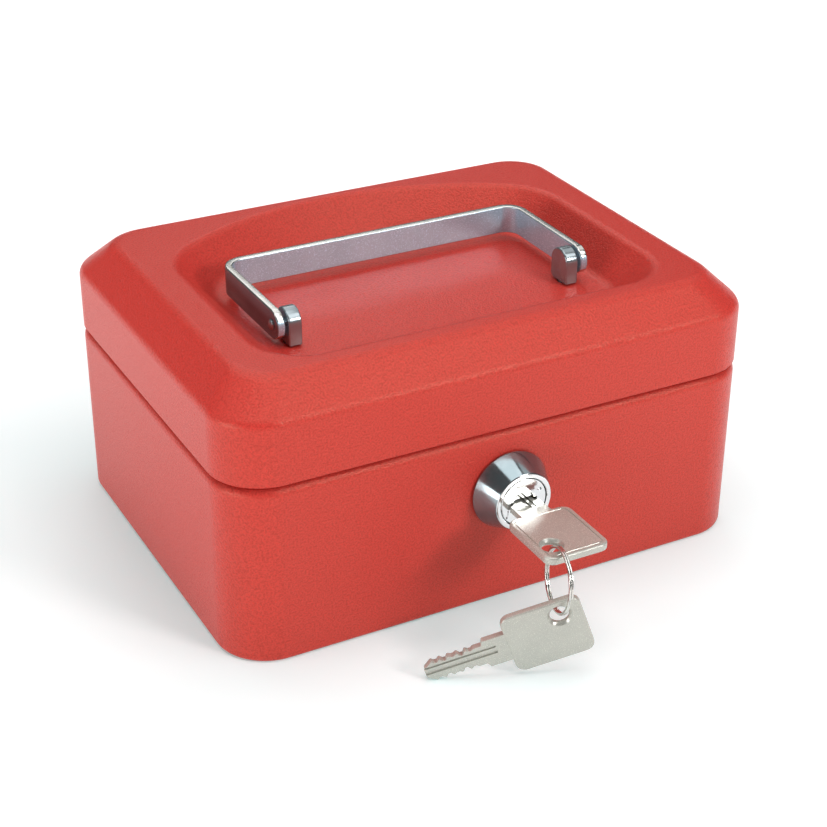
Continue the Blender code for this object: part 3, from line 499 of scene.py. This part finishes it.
# A darker copy of the chrome for the lock cone's flank and barrel: painted dark reflection.
DARK_REFLECTION_CHROME = metal("chrome_painted_dark_reflection", (0.24, 0.30, 0.32), (0.31, 0.37, 0.39),
               0.85, 0.13, 0.5 * MM, 0.004 * MM)
TUMBLED = metal("tumbled_chrome", (0.29, 0.34, 0.36), (0.34, 0.39, 0.41),
                0.7, 0.18, 0.4 * MM, 0.005 * MM)
NICKEL = metal("nickel", (0.49, 0.485, 0.435), (0.53, 0.525, 0.47),
               0.35, 0.24, 0.2 * MM, 0.002 * MM)
# Polished nickel of the split ring; on the bail's top and bottom faces it is a painted highlight.
WIRE_AND_EDGE_HIGHLIGHT = metal("polished_nickel_and_painted_highlight", (0.62, 0.62, 0.59), (0.70, 0.70, 0.66),
             0.9, 0.16, 0.3 * MM, 0.006 * MM)
ZINC = metal("zinc_steel", (0.60, 0.61, 0.62), (0.70, 0.71, 0.70),
             1, 0.36, 0.5 * MM, 0.010 * MM)
BRASS = metal("brass", (0.68, 0.50, 0.22), (0.76, 0.58, 0.28),
              1, 0.28, 0.4 * MM, 0.006 * MM)
TRAY = tray_plastic()


# Case and lid -------------------------------------------------------------


def body_ring(inset, z, radius=None):
    if radius is None:
        radius = CORNER_RADIUS - inset
    half_depth = CASE_HIGH.y - inset
    outline = plan(CASE_HIGH.x - inset, -half_depth, half_depth, radius, radius)
    return [(x, y, z) for x, y in outline]


def case_shell():
    edge = BASE_EDGE_RADIUS
    shoulder = (SHOULDER_RADIUS, SHOULDER_BASE_Z)
    top = CASE_HIGH.z
    outer = arc((edge, edge), edge, 270, 180, ARC_STEPS)
    outer += arc(shoulder, SHOULDER_RADIUS, 180, 111, ARC_STEPS)
    outer.append((FLANGE_INSET, top - 0.25 * MM))
    outer.append((FLANGE_INSET + 0.15 * MM, top))
    inner = [(FLANGE_INSET + WALL - 0.15 * MM, top), (FLANGE_INSET + WALL, top - 0.25 * MM)]
    inner += arc(shoulder, SHOULDER_RADIUS - WALL, 93, 180, ARC_STEPS)
    inner += arc((edge, edge), edge - WALL, 180, 270, ARC_STEPS)
    shell = loft("case_shell", [body_ring(d, z) for d, z in outer + inner], RED)
    reach = Vector((0, 5 * MM, 0))
    cut(shell, rod("lock_hole", BARREL_RADIUS + GAP, LOCK - reach, LOCK + reach, RED))
    return show(shade(shell), "case", "red_powder_coat", "box_shell")


def outer_station(inset, z, tilt):
    """One line of the lid's outside; tilt is how far its normal leans from upright."""
    lean = math.radians(tilt)
    radius = CORNER_RADIUS - CHAMFER_CORNER_TAPER * inset

    def ring(depth):
        step = depth * math.sin(lean)
        return body_ring(inset + step, z - depth * math.cos(lean), radius - step)

    return ring


def dish_station(inset, z, tilt):
    """One line of the dish; its normal leans towards the middle by tilt."""
    lean = math.radians(tilt)
    taper = DISH_CORNER_TAPER * inset

    def ring(depth):
        step = depth * math.sin(lean)
        d = inset - step
        points = plan(DISH_HALF_WIDTH - d, DISH_FRONT_Y + d, DISH_BACK_Y - d,
                      DISH_FRONT_RADIUS - taper + step, DISH_BACK_RADIUS - taper + step,
                      DISH_CROWN_RADIUS - d)
        return [(x, y, z - depth * math.cos(lean)) for x, y in points]

    return ring


def dish_foot_inset():
    """How far in from the lip the slope meets the floor."""
    turn = DISH_LIP_RADIUS + DISH_FOOT_RADIUS
    drop = DISH_DEPTH - turn * (1 - math.cos(SLOPE))
    return turn * math.sin(SLOPE) + drop / math.tan(SLOPE)


def tilts(start, end):
    return [start + (end - start) * i / ARC_STEPS for i in range(ARC_STEPS + 1)]


def lid_stations():
    half_turn = math.tan(SLOPE / 2)
    rim_z = LID_HIGH.z
    low = CHAMFER_EDGE_RADIUS
    low_z = rim_z - CHAMFER_INSET - low * half_turn
    rim = RIM_EDGE_RADIUS
    rim_inset = CHAMFER_INSET + rim * half_turn
    floor_z = rim_z - DISH_DEPTH
    stations = [outer_station(0.2 * MM, LID_LOW.z, 90),
                outer_station(0, LID_LOW.z + 0.3 * MM, 90)]
    for tilt in tilts(90, 45):
        turn = math.radians(90 - tilt)
        stations.append(outer_station(low * (1 - math.cos(turn)),
                                      low_z + low * math.sin(turn), tilt))
    for tilt in tilts(45, 0):
        turn = math.radians(tilt)
        stations.append(outer_station(rim_inset - rim * math.sin(turn),
                                      rim_z - rim * (1 - math.cos(turn)), tilt))
    for tilt in tilts(0, 45):
        turn = math.radians(tilt)
        stations.append(dish_station(DISH_LIP_RADIUS * math.sin(turn),
                                     rim_z - DISH_LIP_RADIUS * (1 - math.cos(turn)), tilt))
    for tilt in tilts(45, 0):
        turn = math.radians(tilt)
        stations.append(dish_station(dish_foot_inset() - DISH_FOOT_RADIUS * math.sin(turn),
                                     floor_z + DISH_FOOT_RADIUS * (1 - math.cos(turn)), tilt))
    return stations


def lid_cover():
    stations = lid_stations()
    rings = [station(WALL) for station in reversed(stations[1:])]
    rings += [station(0) for station in stations]
    shell = loft("lid_cover", rings, RED)
    holes = []
    for side in ("left", "right"):
        middle = sum(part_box("handle_bracket_" + side), Vector()) / 2
        floor_z = LID_HIGH.z - DISH_DEPTH
        holes.append(rod("shank_hole", SHANK_RADIUS + GAP, (middle.x, PIVOT.y, floor_z - 5 * MM),
                         (middle.x, PIVOT.y, floor_z + 5 * MM), RED))
    cut(shell, *holes)
    return show(shade(shell), "lid", "red_powder_coat", "lid_shell")


# Handle -------------------------------------------------------------------


def bail_path(offset, bend_steps=14):
    """One side of the bent strip from above, from the right pivot to the left one."""
    low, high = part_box("handle_bail")
    outer = (high.x - low.x) / 2 - offset
    back = high.y - offset
    radius = BEND_RADIUS - offset
    points = [(outer, PIVOT.y)]
    points += arc((outer - radius, back - radius), radius, 0, 90, bend_steps)
    points += arc((-outer + radius, back - radius), radius, 90, 180, bend_steps)
    points.append((-outer, PIVOT.y))
    return [(PIVOT.x + x, y) for x, y in points]


def bail():
    """Flat strip bent into a U, with half-round ends drilled for the pins."""
    low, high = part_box("handle_bail")
    half = (high.z - low.z) / 2
    bm = bmesh.new()
    sides = []
    for offset in (0, STRIP_THICKNESS):
        path = bail_path(offset)
        rows = [[bm.verts.new((x, y, PIVOT.z + dz)) for x, y in path] for dz in (-half, half)]
        caps = []
        for x in (path[0][0], path[-1][0]):
            round_end = arc((PIVOT.y, PIVOT.z), half, 90, 270, HALF_ROUND_STEPS)[1:-1]
            caps.append([bm.verts.new((x, y, z)) for y, z in round_end])
        sides.append((rows, caps))
    count = len(sides[0][0][0])
    for rows, caps in sides:
        for i in range(1, count - 2):
            bm.faces.new((rows[0][i], rows[0][i + 1], rows[1][i + 1], rows[1][i]))
        bm.faces.new([rows[0][1], rows[1][1], rows[1][0], *caps[0], rows[0][0]])
        bm.faces.new([rows[0][-2], rows[1][-2], rows[1][-1], *caps[1], rows[0][-1]])
    (outer, outer_caps), (inner, inner_caps) = sides
    for level in (0, 1):
        for i in range(count - 1):
            bm.faces.new((outer[level][i], outer[level][i + 1],
                          inner[level][i + 1], inner[level][i]))
    for end, place in ((0, 0), (1, -1)):
        a = [outer[1][place], *outer_caps[end], outer[0][place]]
        b = [inner[1][place], *inner_caps[end], inner[0][place]]
        for i in range(len(a) - 1):
            bm.faces.new((a[i], a[i + 1], b[i + 1], b[i]))
    made = soften(new_object("bail", bm, SATIN), STRIP_EDGE_RADIUS)
    reach = high.x + 9 * MM
    cut(made, rod("bore", PIN_RADIUS + PIN_CLEARANCE, (-reach, PIVOT.y, PIVOT.z),
                  (reach, PIVOT.y, PIVOT.z), SATIN))
    # The strip is one steel: faces turned outwards or to the back take a darker copy, painted shade, and the top
    # and bottom faces the polished nickel, a painted highlight.
    made.data.materials.append(SHADED_STEEL)
    made.data.materials.append(WIRE_AND_EDGE_HIGHLIGHT)
    for face in made.data.polygons:
        outward = face.normal.x * math.copysign(1, face.center.x - PIVOT.x)
        if abs(face.normal.z) > 0.5:
            face.material_index = 2
        else:
            face.material_index = int(max(outward, face.normal.y) > 0.5)
    return show(shade(made), "handle", "satin_steel", "handle_bail")


def bracket(side):
    """Upright post with a half-round top and a riveted shank under the lid."""
    node_name = "handle_bracket_" + side
    low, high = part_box(node_name)
    half = (high.y - low.y) / 2
    foot_z = LID_HIGH.z - DISH_DEPTH + GAP
    outline = arc((PIVOT.y, PIVOT.z), half, 0, 180, HALF_ROUND_STEPS)
    outline += [(PIVOT.y - half, foot_z), (PIVOT.y + half - MM, foot_z),
                (PIVOT.y + half, foot_z + MM)]
    middle = (low.x + high.x) / 2
    post = extruded("bracket_" + side, outline, middle - POST_WIDTH / 2,
                    middle + POST_WIDTH / 2, TUMBLED, "X")
    soften(post, POST_EDGE_RADIUS)
    head_top = low.z + MM
    profile = [(0, low.z), (SHANK_HEAD_RADIUS * 0.7, low.z + 0.1 * MM),
               (SHANK_HEAD_RADIUS, head_top - 0.3 * MM), (SHANK_HEAD_RADIUS * 0.96, head_top),
               (SHANK_RADIUS, head_top), (SHANK_RADIUS, foot_z + MM), (0, foot_z + MM)]
    shank = turned("shank", profile, TUMBLED, SMALL_STEPS)
    shank.data.transform(Matrix.Translation((middle, PIVOT.y, 0)))
    gather(post, shank)
    return show(shade(post), "lid", "chrome", node_name)


def pivot_pin(side):
    """Pin through an arm and its post, with a domed head outside."""
    node_name = "pivot_pin_" + side
    low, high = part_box(node_name)
    sign = 1 if side == "right" else -1
    inner, tip = sorted((abs(low.x - PIVOT.x), abs(high.x - PIVOT.x)))
    head = tip - PIN_HEAD_HEIGHT
    dome = arc((0, head - 0.5 * MM), PIN_HEAD_RADIUS * 1.05, 22, 90, 10)
    scale = (tip - head) / (dome[-1][1] - dome[0][1])
    profile = [(0, inner), (PIN_RADIUS, inner), (PIN_RADIUS, head), (PIN_HEAD_RADIUS * 0.97, head)]
    profile += [(r, head + (h - dome[0][1]) * scale) for r, h in dome[:-1]] + [(0, tip)]
    pin = turned("pin_" + side, profile, TUMBLED, SMALL_STEPS)
    pin.data.transform(Matrix.Translation(PIVOT)
                       @ Matrix.Rotation(sign * math.radians(90), 4, "Y"))
    return show(shade(pin), "lid", "chrome", node_name)


# Hinges -------------------------------------------------------------------


def hinge_leaf(node_name, body):
    """Plate with knuckles round the pin: one on the lid's leaf, two on the case's."""
    low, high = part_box(node_name)
    centre = (low.x + high.x) / 2
    is_lid = body == "lid"
    knuckle = high.y - HINGE.y
    clear = knuckle + GAP
    far = high.z if is_lid else low.z
    near = HINGE.z + clear if is_lid else HINGE.z - clear
    inner_y = HINGE.y - knuckle
    plate_z = sorted((near, far))
    name = node_name.replace("hinge_leaf", "leaf")
    outer_y = inner_y + HINGE_SHEET
    plate = block(name, (low.x, inner_y, plate_z[0]), (high.x, outer_y, plate_z[1]), RED)
    middle = LID_KNUCKLE_HALF
    if is_lid:
        spans = [(-middle, middle)]
    else:
        left_low, left_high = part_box("hinge_leaf_body_left")
        half = (left_high.x - left_low.x) / 2
        spans = [(-half, -middle - GAP), (middle + GAP, half)]
    parts = []
    for start, end in spans:
        parts.append(rod("knuckle", knuckle, (centre + start, HINGE.y, HINGE.z),
                         (centre + end, HINGE.y, HINGE.z), RED))
        tail = sorted((HINGE.z, near + (MM if is_lid else -MM)))
        parts.append(block("tail", (centre + start, inner_y, tail[0]),
                           (centre + end, outer_y, tail[1]), RED))
    join(plate, *parts)
    reach = 20 * MM
    cut(plate, rod("bore", HINGE_BORE_RADIUS, (centre - reach, HINGE.y, HINGE.z),
                   (centre + reach, HINGE.y, HINGE.z), RED))
    return show(shade(plate), body, "red_powder_coat", node_name)


# Lock ---------------------------------------------------------------------


def along_lock(made):
    """Stands a turned piece on the lock's axis, its height running towards the front."""
    turn = Matrix.Rotation(math.radians(90), 4, "X")
    made.data.transform(Matrix.Translation((0, 0, LOCK.z)) @ turn)
    return made


def lock_cone():
    """Chrome cone and barrel, turned, with small rounded edges."""
    low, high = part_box("lock_housing")
    base_radius = high.x
    front = -LOCK.y + GAP
    face = front + CONE_LENGTH
    head = face - HEAD_DEPTH
    profile = [(BARREL_RADIUS, -high.y), (BARREL_RADIUS, front),
               (base_radius - 0.4 * MM, front)]
    profile += arc((base_radius - 0.45 * MM, front + 0.45 * MM), 0.45 * MM, -60, 20, 5)
    profile += arc((CONE_FACE_RADIUS - 0.5 * MM, face - 0.5 * MM), 0.5 * MM, 20, 90, 6)
    head_bore = PLUG_HEAD_RADIUS + PLUG_CLEARANCE
    body_bore = PLUG_BODY_RADIUS + PLUG_CLEARANCE
    profile += [(head_bore + 0.15 * MM, face), (head_bore, face - 0.15 * MM),
                (head_bore, head), (body_bore, head), (body_bore, -high.y)]
    made = along_lock(turned("lock_cone", profile, CHROME, 128, closed=True))
    # The front face keeps the bright chrome; the flank and barrel take a darker copy of it, painting the dark
    # reflections they show.
    made.data.materials.append(DARK_REFLECTION_CHROME)
    for face in made.data.polygons:
        face.material_index = 0 if face.normal.y < -0.7 else 1
    return show(shade(made, LOCK_EDGE_ANGLE), "case", "chrome", "lock_housing")


def plug():
    """Turned plug: rounded rim, keyway with an arched top, and stamped pits."""
    low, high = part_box("lock_plug")
    face = -low.y
    head = face - HEAD_DEPTH + 0.4 * MM
    rim = 0.35 * MM
    profile = [(0, PLUG_BODY_END), (PLUG_BODY_RADIUS, PLUG_BODY_END),
               (PLUG_BODY_RADIUS, head), (PLUG_HEAD_RADIUS, head)]
    profile += arc((PLUG_HEAD_RADIUS - rim, face - rim), rim, 0, 90, 5)
    profile.append((0, face))
    made = along_lock(turned("plug", profile, CHROME, 96))
    half = DRIVE_SIDE / 2
    drive = block("drive", (-half, -PLUG_BODY_END - MM, LOCK.z - half),
                  (half, high.y, LOCK.z + half), CHROME)
    key_z = sum(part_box("key_in_lock"), Vector()).z / 2
    slot_low = key_z - KEYWAY_HEIGHT / 2
    keyway = block("keyway", (-KEYWAY_WIDTH / 2, low.y - MM, slot_low),
                   (KEYWAY_WIDTH / 2, low.y + KEYWAY_DEPTH, slot_low + KEYWAY_HEIGHT), CHROME)
    arch = rod("arch", ARCH_RADIUS, (0, low.y - MM, LOCK.z),
               (0, low.y + ARCH_DEPTH, LOCK.z), CHROME)
    below = block("below", (-5 * MM, low.y - 2 * MM, LOCK.z - 5 * MM),
                  (5 * MM, low.y + 3 * MM, slot_low), CHROME)
    cut(arch, below)
    pits = []
    for x, z, lean, wide, tall in PITS:
        profile = [(0, -0.2 * MM), (MM, -0.2 * MM), (MM, 0.35 * MM), (0, 0.35 * MM)]
        pit = turned("pit", profile, CHROME, 24)
        pit.data.transform(Matrix.Translation((x * MM, low.y, LOCK.z + z * MM))
                           @ Matrix.Rotation(math.radians(-90), 4, "X")
                           @ Matrix.Rotation(math.radians(lean), 4, "Z")
                           @ Matrix.Diagonal((wide, tall, 1, 1)))
        pits.append(pit)
    made = cut(join(made, drive), keyway, arch, *pits)
    return show(shade(made, LOCK_EDGE_ANGLE), "plug", "chrome", "lock_plug")


def nut():
    """Hexagon nut with chamfered corners behind the wall."""
    low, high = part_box("lock_nut")
    radius = (high.x - low.x) / 2
    outline = arc((0, LOCK.z), radius, 0, 300, 5)
    made = extruded("nut", outline, low.y, high.y, ZINC, "Y")
    depth = high.y - low.y
    profile = [(0, 0), (radius * 0.93, 0), (radius * 1.03, 0.7 * MM),
               (radius * 1.03, depth), (0, depth)]
    chamfer = turned("chamfer", profile, ZINC, 64)
    chamfer.data.transform(Matrix.Translation((0, high.y, LOCK.z))
                           @ Matrix.Rotation(math.radians(90), 4, "X"))
    boolean(made, [chamfer], "INTERSECT")
    cut(made, rod("bore", BARREL_RADIUS + GAP, (0, low.y - MM, LOCK.z),
                  (0, high.y + MM, LOCK.z), ZINC))
    return show(shade(made), "case", "zinc_steel", "lock_nut")


def cam():
    """Flat stamped arm with rounded edges and a square hole."""
    low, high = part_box("lock_cam")
    half = (high.x - low.x) / 2
    tip = CAM_TIP_RADIUS
    outline = arc((0, LOCK.z), half, 180, 360, HALF_ROUND_STEPS)
    outline += arc((half - tip, high.z - tip), tip, 0, 90, 8)
    outline += arc((-half + tip, high.z - tip), tip, 90, 180, 8)
    made = soften(extruded("cam", outline, low.y, high.y, ZINC, "Y"), 0.2 * MM)
    hole = DRIVE_SIDE / 2 + GAP
    cut(made, block("square", (-hole, low.y - MM, LOCK.z - hole),
                    (hole, high.y + MM, LOCK.z + hole), ZINC))
    return show(shade(made), "plug", "zinc_steel", "lock_cam")


# Keys and ring ------------------------------------------------------------


def bow_outline(half, inset):
    """Outline of the key's bow, its corners rounded, drawn in by inset."""
    radius = max(BOW_RADIUS - inset, 0.4 * MM)
    left = inset + radius
    right = BOW_LENGTH - inset - radius
    side = half - inset - radius
    points = []
    corners = ((right, side, 0), (left, side, 90), (left, -side, 180), (right, -side, 270))
    for x, y, start in corners:
        points += arc((x, y), radius, start, start + 90, 8)
    return points


def blade_outline(length):
    """Blade's outline from the bow to the tip, with cuts along both edges."""
    bow_x = length - BOW_LENGTH
    edge_y = BLADE_WIDTH / 2
    edge = [(bow_x + 2 * MM, NECK_WIDTH / 2), (bow_x - NECK_LENGTH, NECK_WIDTH / 2),
            (bow_x - NECK_LENGTH - 0.6 * MM, edge_y)]
    for index, depth in enumerate(BLADE_CUTS):
        middle = bow_x - FIRST_CUT - index * CUT_PITCH
        edge += [(middle + 0.9 * MM, edge_y), (middle + 0.3 * MM, edge_y - depth),
                 (middle - 0.3 * MM, edge_y - depth), (middle - 0.9 * MM, edge_y)]
    edge += [(CUT_PITCH, edge_y), (0.2 * MM, edge_y / 2), (0, edge_y / 4)]
    return edge + [(x, -y) for x, y in reversed(edge)]


def key(name, length, width):
    """Key along +X from its tip, hole on the +Y side; a line frames its -Z face."""
    half = width / 2
    thick = KEY_THICKNESS / 2
    edge = KEY_EDGE_RADIUS
    rim = [(edge, thick), (0.2 * MM, thick - 0.08 * MM), (0.06 * MM, thick - 0.22 * MM),
           (0, thick - edge)]
    line = FRAME_LINE_INSET
    framed = [(line + 0.36 * MM, -thick), (line + 0.24 * MM, -thick + 0.2 * MM),
              (line + 0.12 * MM, -thick + 0.2 * MM), (line, -thick)]
    framed += [(inset, -z) for inset, z in rim]
    stations = rim + list(reversed(framed))
    shift = length - BOW_LENGTH
    rings = [[(x + shift, y, z) for x, y in bow_outline(half, inset)] for inset, z in stations]
    bow = loft(name, rings, NICKEL)
    hole = KEY_HOLE_RADIUS
    flare = KEY_HOLE_FLARE
    profile = [(0, -thick - MM), (hole + flare + 0.01 * MM, -thick - MM),
               (hole + flare, -thick), (hole + 0.25 * flare, -thick + 0.45 * MM),
               (hole, -thick + 0.75 * MM), (hole, thick - 0.75 * MM),
               (hole + 0.25 * flare, thick - 0.45 * MM), (hole + flare, thick),
               (hole + flare + 0.01 * MM, thick + MM), (0, thick + MM)]
    cutter = turned("hole", profile, NICKEL, 64)
    hole_place = (length - KEY_HOLE_FROM_END, half - KEY_HOLE_FROM_SIDE, 0)
    cutter.data.transform(Matrix.Translation(hole_place))
    cut(bow, cutter)
    blade = extruded("blade", blade_outline(length), -BLADE_THICKNESS / 2,
                     BLADE_THICKNESS / 2, NICKEL)
    soften(blade, 0.18 * MM, 2)
    grooves = []
    groove_end = length - BOW_LENGTH - NECK_LENGTH / 2
    for level in (-1, 1):
        for offset, wide in ((0, 0.6), (level * 1.55, 0.28)):
            low, high = sorted((level * 0.45 * MM, level * 2 * MM))
            grooves.append(block("groove", (-MM, (offset - wide) * MM, low),
                                 (groove_end, (offset + wide) * MM, high), NICKEL))
    cut(blade, *grooves)
    return gather(bow, blade)


def key_size():
    low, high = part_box("key_in_lock")
    return high.y - low.y, high.x - low.x


def lock_key():
    low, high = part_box("key_in_lock")
    made = key("key_turned_in_lock", *key_size())
    turn = Matrix(((0, -1, 0), (-1, 0, 0), (0, 0, -1))).to_4x4()
    made.data.transform(Matrix.Translation((0, high.y, (low.z + high.z) / 2)) @ turn)
    return show(shade(made), "key", "nickel", "key_in_lock")


def hanging_key():
    along = Vector((math.cos(SPARE_YAW) * math.cos(SPARE_PITCH),
                    math.sin(SPARE_YAW) * math.cos(SPARE_PITCH), math.sin(SPARE_PITCH)))
    level = Vector((0, 0, 1)).cross(along).normalized()
    upward = along.cross(level)
    across = upward * math.cos(SPARE_LEAN) + level * math.sin(SPARE_LEAN)
    made = key("key_on_ring", *key_size())
    turn = Matrix((along, across, along.cross(across))).transposed().to_4x4()
    made.data.transform(Matrix.Translation(SPARE_TIP) @ turn)
    return show(shade(made), "spare", "nickel", "spare_key")


def split_ring():
    """Flattened wire wound twice round, its turns side by side, with a step between."""
    points = np.array([v.co for v in frame["nodes"]["key_ring"].data.vertices])
    centre = Vector(points.mean(axis=0))
    normal = Vector(joints["ring_swing"]["axis"]).normalized()
    corner = WIRE_CORNER_RADIUS
    corner_x = WIRE_HALF_WIDTH - corner
    corner_y = WIRE_HALF_THICKNESS - corner
    section = []
    for sx, sy, start in ((1, 1, 0), (-1, 1, 90), (-1, -1, 180), (1, -1, 270)):
        section += arc((sx * corner_x, sy * corner_y), corner, start, start + 90, 3)
    rings = []
    for i in range(RING_STEPS + 1):
        angle = 4 * math.pi * i / RING_STEPS
        way = min(max((angle - 2 * math.pi + RING_CROSSING) / RING_CROSSING, 0), 1)
        lift = RING_LIFT * (2 * way * way * (3 - 2 * way) - 1)
        out = Vector((math.cos(angle), math.sin(angle), 0))
        rings.append([tuple(out * (RING_RADIUS + r) + Vector((0, 0, lift + h)))
                      for r, h in section])
    made = loft("split_ring", rings, WIRE_AND_EDGE_HIGHLIGHT)
    turn = normal.to_track_quat("Z", "Y").to_matrix().to_4x4()
    made.data.transform(Matrix.Translation(centre) @ turn)
    return show(shade(made), "ring", "nickel", "key_ring")


# Coin tray ----------------------------------------------------------------


def tray_cup(low_x, high_x, low_y, high_y, floor, top):
    """Cutter for one compartment: rounded corners and a rolled bottom edge."""
    corners = ((high_x, low_y, -90), (high_x, high_y, 0),
               (low_x, high_y, 90), (low_x, low_y, 180))
    profile = arc((CUP_ROLL, floor + CUP_ROLL), CUP_ROLL, 270, 180, 10)
    profile.append((0, top + CUP_ROLL))
    rings = []
    for inset, z in profile:
        corner = CUP_CORNER_RADIUS - inset * 0.8
        points = []
        for x, y, start in corners:
            shift = inset + corner
            centre_x = x - shift if x == high_x else x + shift
            centre_y = y - shift if y == high_y else y + shift
            points += arc((centre_x, centre_y), corner, start, start + 90, 8)
        rings.append([(x, y, z) for x, y in points])
    return loft("cup", rings, TRAY)


def tray():
    low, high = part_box("coin_tray")
    outline = plan(TRAY_BODY_HALF_WIDTH, low.y, TRAY_BODY_BACK_Y,
                   TRAY_FRONT_RADIUS, TRAY_BACK_RADIUS)
    made = extruded("tray", outline, low.z, high.z, TRAY)
    inset = CASE_HIGH.y - high.y
    lip_outline = plan(high.x, low.y, high.y, TRAY_LIP_FRONT_RADIUS, CORNER_RADIUS - inset)
    lip_low = high.z - TRAY_LIP_THICKNESS
    lip = extruded("lip", lip_outline, lip_low, high.z - 0.1 * MM, TRAY)
    inner_x = TRAY_BODY_HALF_WIDTH - TRAY_WALL
    pitch = (2 * inner_x + TRAY_WALL) / COIN_CUPS
    floor = low.z + TRAY_WALL
    cups = [tray_cup(-inner_x, inner_x, TRAY_SPLIT_Y + TRAY_WALL / 2,
                     TRAY_BODY_BACK_Y - TRAY_WALL, floor, high.z)]
    for index in range(COIN_CUPS):
        start = -inner_x + index * pitch
        cups.append(tray_cup(start, start + pitch - TRAY_WALL, low.y + TRAY_WALL,
                             TRAY_SPLIT_Y - TRAY_WALL / 2, floor, high.z))
    made = cut(join(made, lip), *cups)
    return show(shade(made), "case", "tray_plastic", "coin_tray")


# Studio -------------------------------------------------------------------


def floor():
    """Pale floor that glows by its distance from the box, not by the view: dim near the box, a painted shadow
    round it, and white far away.
    """
    bpy.ops.mesh.primitive_grid_add(x_subdivisions=4, y_subdivisions=4, size=FLOOR_SIZE)
    ground = bpy.context.object
    ground.name = "floor"
    surface, tree, shader, place = base_material("pale_floor", 0.85, 0)
    patches = noise(tree, place, 300 * MM)
    # The pinkish base pairs with the cyan glow near the box, so that the painted shadow there stays grey though
    # red light bounces into it.
    colour = tint(tree, patches, (0.90, 0.80, 0.80), (0.92, 0.82, 0.82))
    tree.links.new(colour, shader.inputs["Base Color"])
    stretch = node(tree, "ShaderNodeMapping")
    stretch.inputs["Scale"].default_value = (0.75, 1, 1)
    tree.links.new(place, stretch.inputs["Vector"])
    distance = node(tree, "ShaderNodeVectorMath", operation="LENGTH")
    tree.links.new(stretch.outputs["Vector"], distance.inputs[0])
    # Glow by distance from the box: dim close to it, a painted shadow round its foot, white far away.
    glow = node(tree, "ShaderNodeValToRGB")
    elements = glow.color_ramp.elements
    furthest = FLOOR_GLOW_AND_PAINTED_SHADOW[-1][0]
    for index, (reach, colour) in enumerate(FLOOR_GLOW_AND_PAINTED_SHADOW):
        stop = elements[index] if index < 2 else elements.new(1)
        stop.position = reach / furthest
        stop.color = (*colour, 1)
    along = spread(tree, distance.outputs["Value"], 0, 1, 0, furthest * MM)
    tree.links.new(along, glow.inputs["Fac"])
    tree.links.new(glow.outputs["Color"], shader.inputs["Emission Color"])
    shader.inputs["Emission Strength"].default_value = 1
    ground.data.materials.append(surface)


def softbox(name, azimuth, elevation, distance, width, height, power):
    """Area light aimed at the box; azimuth 0 is in front and 90 to the right."""
    lamp = bpy.data.lights.new(name, "AREA")
    lamp.shape = "RECTANGLE"
    lamp.size = width
    lamp.size_y = height
    lamp.energy = power
    made = bpy.data.objects.new(name, lamp)
    bpy.context.scene.collection.objects.link(made)
    a = math.radians(azimuth)
    e = math.radians(elevation)
    back = Vector((math.sin(a) * math.cos(e), -math.cos(a) * math.cos(e), math.sin(e)))
    made.location = LIGHTS_AIM + back * distance
    made.rotation_euler = back.to_track_quat("Z", "Y").to_euler()


def studio():
    """Softboxes and a backdrop that is white to the camera and dim to all else."""
    world = bpy.data.worlds.new("studio")
    bpy.context.scene.world = world
    world.use_nodes = True
    tree = world.node_tree
    backdrop = tree.nodes["Background"]
    backdrop.inputs["Color"].default_value = (1, 1, 1, 1)
    backdrop.inputs["Strength"].default_value = BACKDROP_STRENGTH
    white = node(tree, "ShaderNodeBackground", Strength=1.0)
    white.inputs["Color"].default_value = (1, 1, 1, 1)
    path = node(tree, "ShaderNodeLightPath")
    mix = node(tree, "ShaderNodeMixShader")
    tree.links.new(path.outputs["Is Camera Ray"], mix.inputs["Fac"])
    tree.links.new(backdrop.outputs[0], mix.inputs[1])
    tree.links.new(white.outputs[0], mix.inputs[2])
    tree.links.new(mix.outputs[0], tree.nodes["World Output"].inputs["Surface"])
    for light in LIGHTS:
        softbox(*light)


def camera():
    lens = bpy.data.cameras.new("camera")
    made = bpy.data.objects.new("camera", lens)
    bpy.context.scene.collection.objects.link(made)
    lens.sensor_width = 36
    lens.lens = CAMERA_LENS
    lens.clip_start = 10 * MM
    level = math.cos(CAMERA_ELEVATION)
    back = Vector((math.sin(CAMERA_AZIMUTH) * level, -math.cos(CAMERA_AZIMUTH) * level,
                   math.sin(CAMERA_ELEVATION)))
    right = (-back).cross(Vector((0, 0, 1))).normalized()
    up = right.cross(-back)
    turned_right = right * math.cos(CAMERA_ROLL) + up * math.sin(CAMERA_ROLL)
    turned_up = up * math.cos(CAMERA_ROLL) - right * math.sin(CAMERA_ROLL)
    turn = Matrix((turned_right, turned_up, back)).transposed().to_4x4()
    made.matrix_world = Matrix.Translation(CAMERA_TARGET + back * CAMERA_DISTANCE) @ turn
    bpy.context.scene.camera = made


def dress_cad():
    """Gives the nodes that stay their finished materials."""
    surfaces = {"zinc_steel": ZINC, "satin_steel": SATIN, "brass": BRASS, "chrome": CHROME,
                "red_powder_coat": RED, "nickel": NICKEL, "tray_plastic": TRAY}
    slots = {part["node"]: part["material_slot"] for part in frame["record"]["subparts"]}
    for name, piece in frame["nodes"].items():
        piece.data.materials.clear()
        piece.data.materials.append(surfaces[slots[name]])


camera()
studio()
floor()
dress_cad()
case_shell()
lid_cover()
bail()
for side in ("left", "right"):
    bracket(side)
    pivot_pin(side)
    hinge_leaf("hinge_leaf_body_" + side, "case")
    hinge_leaf("hinge_leaf_lid_" + side, "lid")
lock_cone()
plug()
nut()
cam()
lock_key()
hanging_key()
split_ring()
tray()

bpy.context.scene.view_settings.view_transform = "Standard"
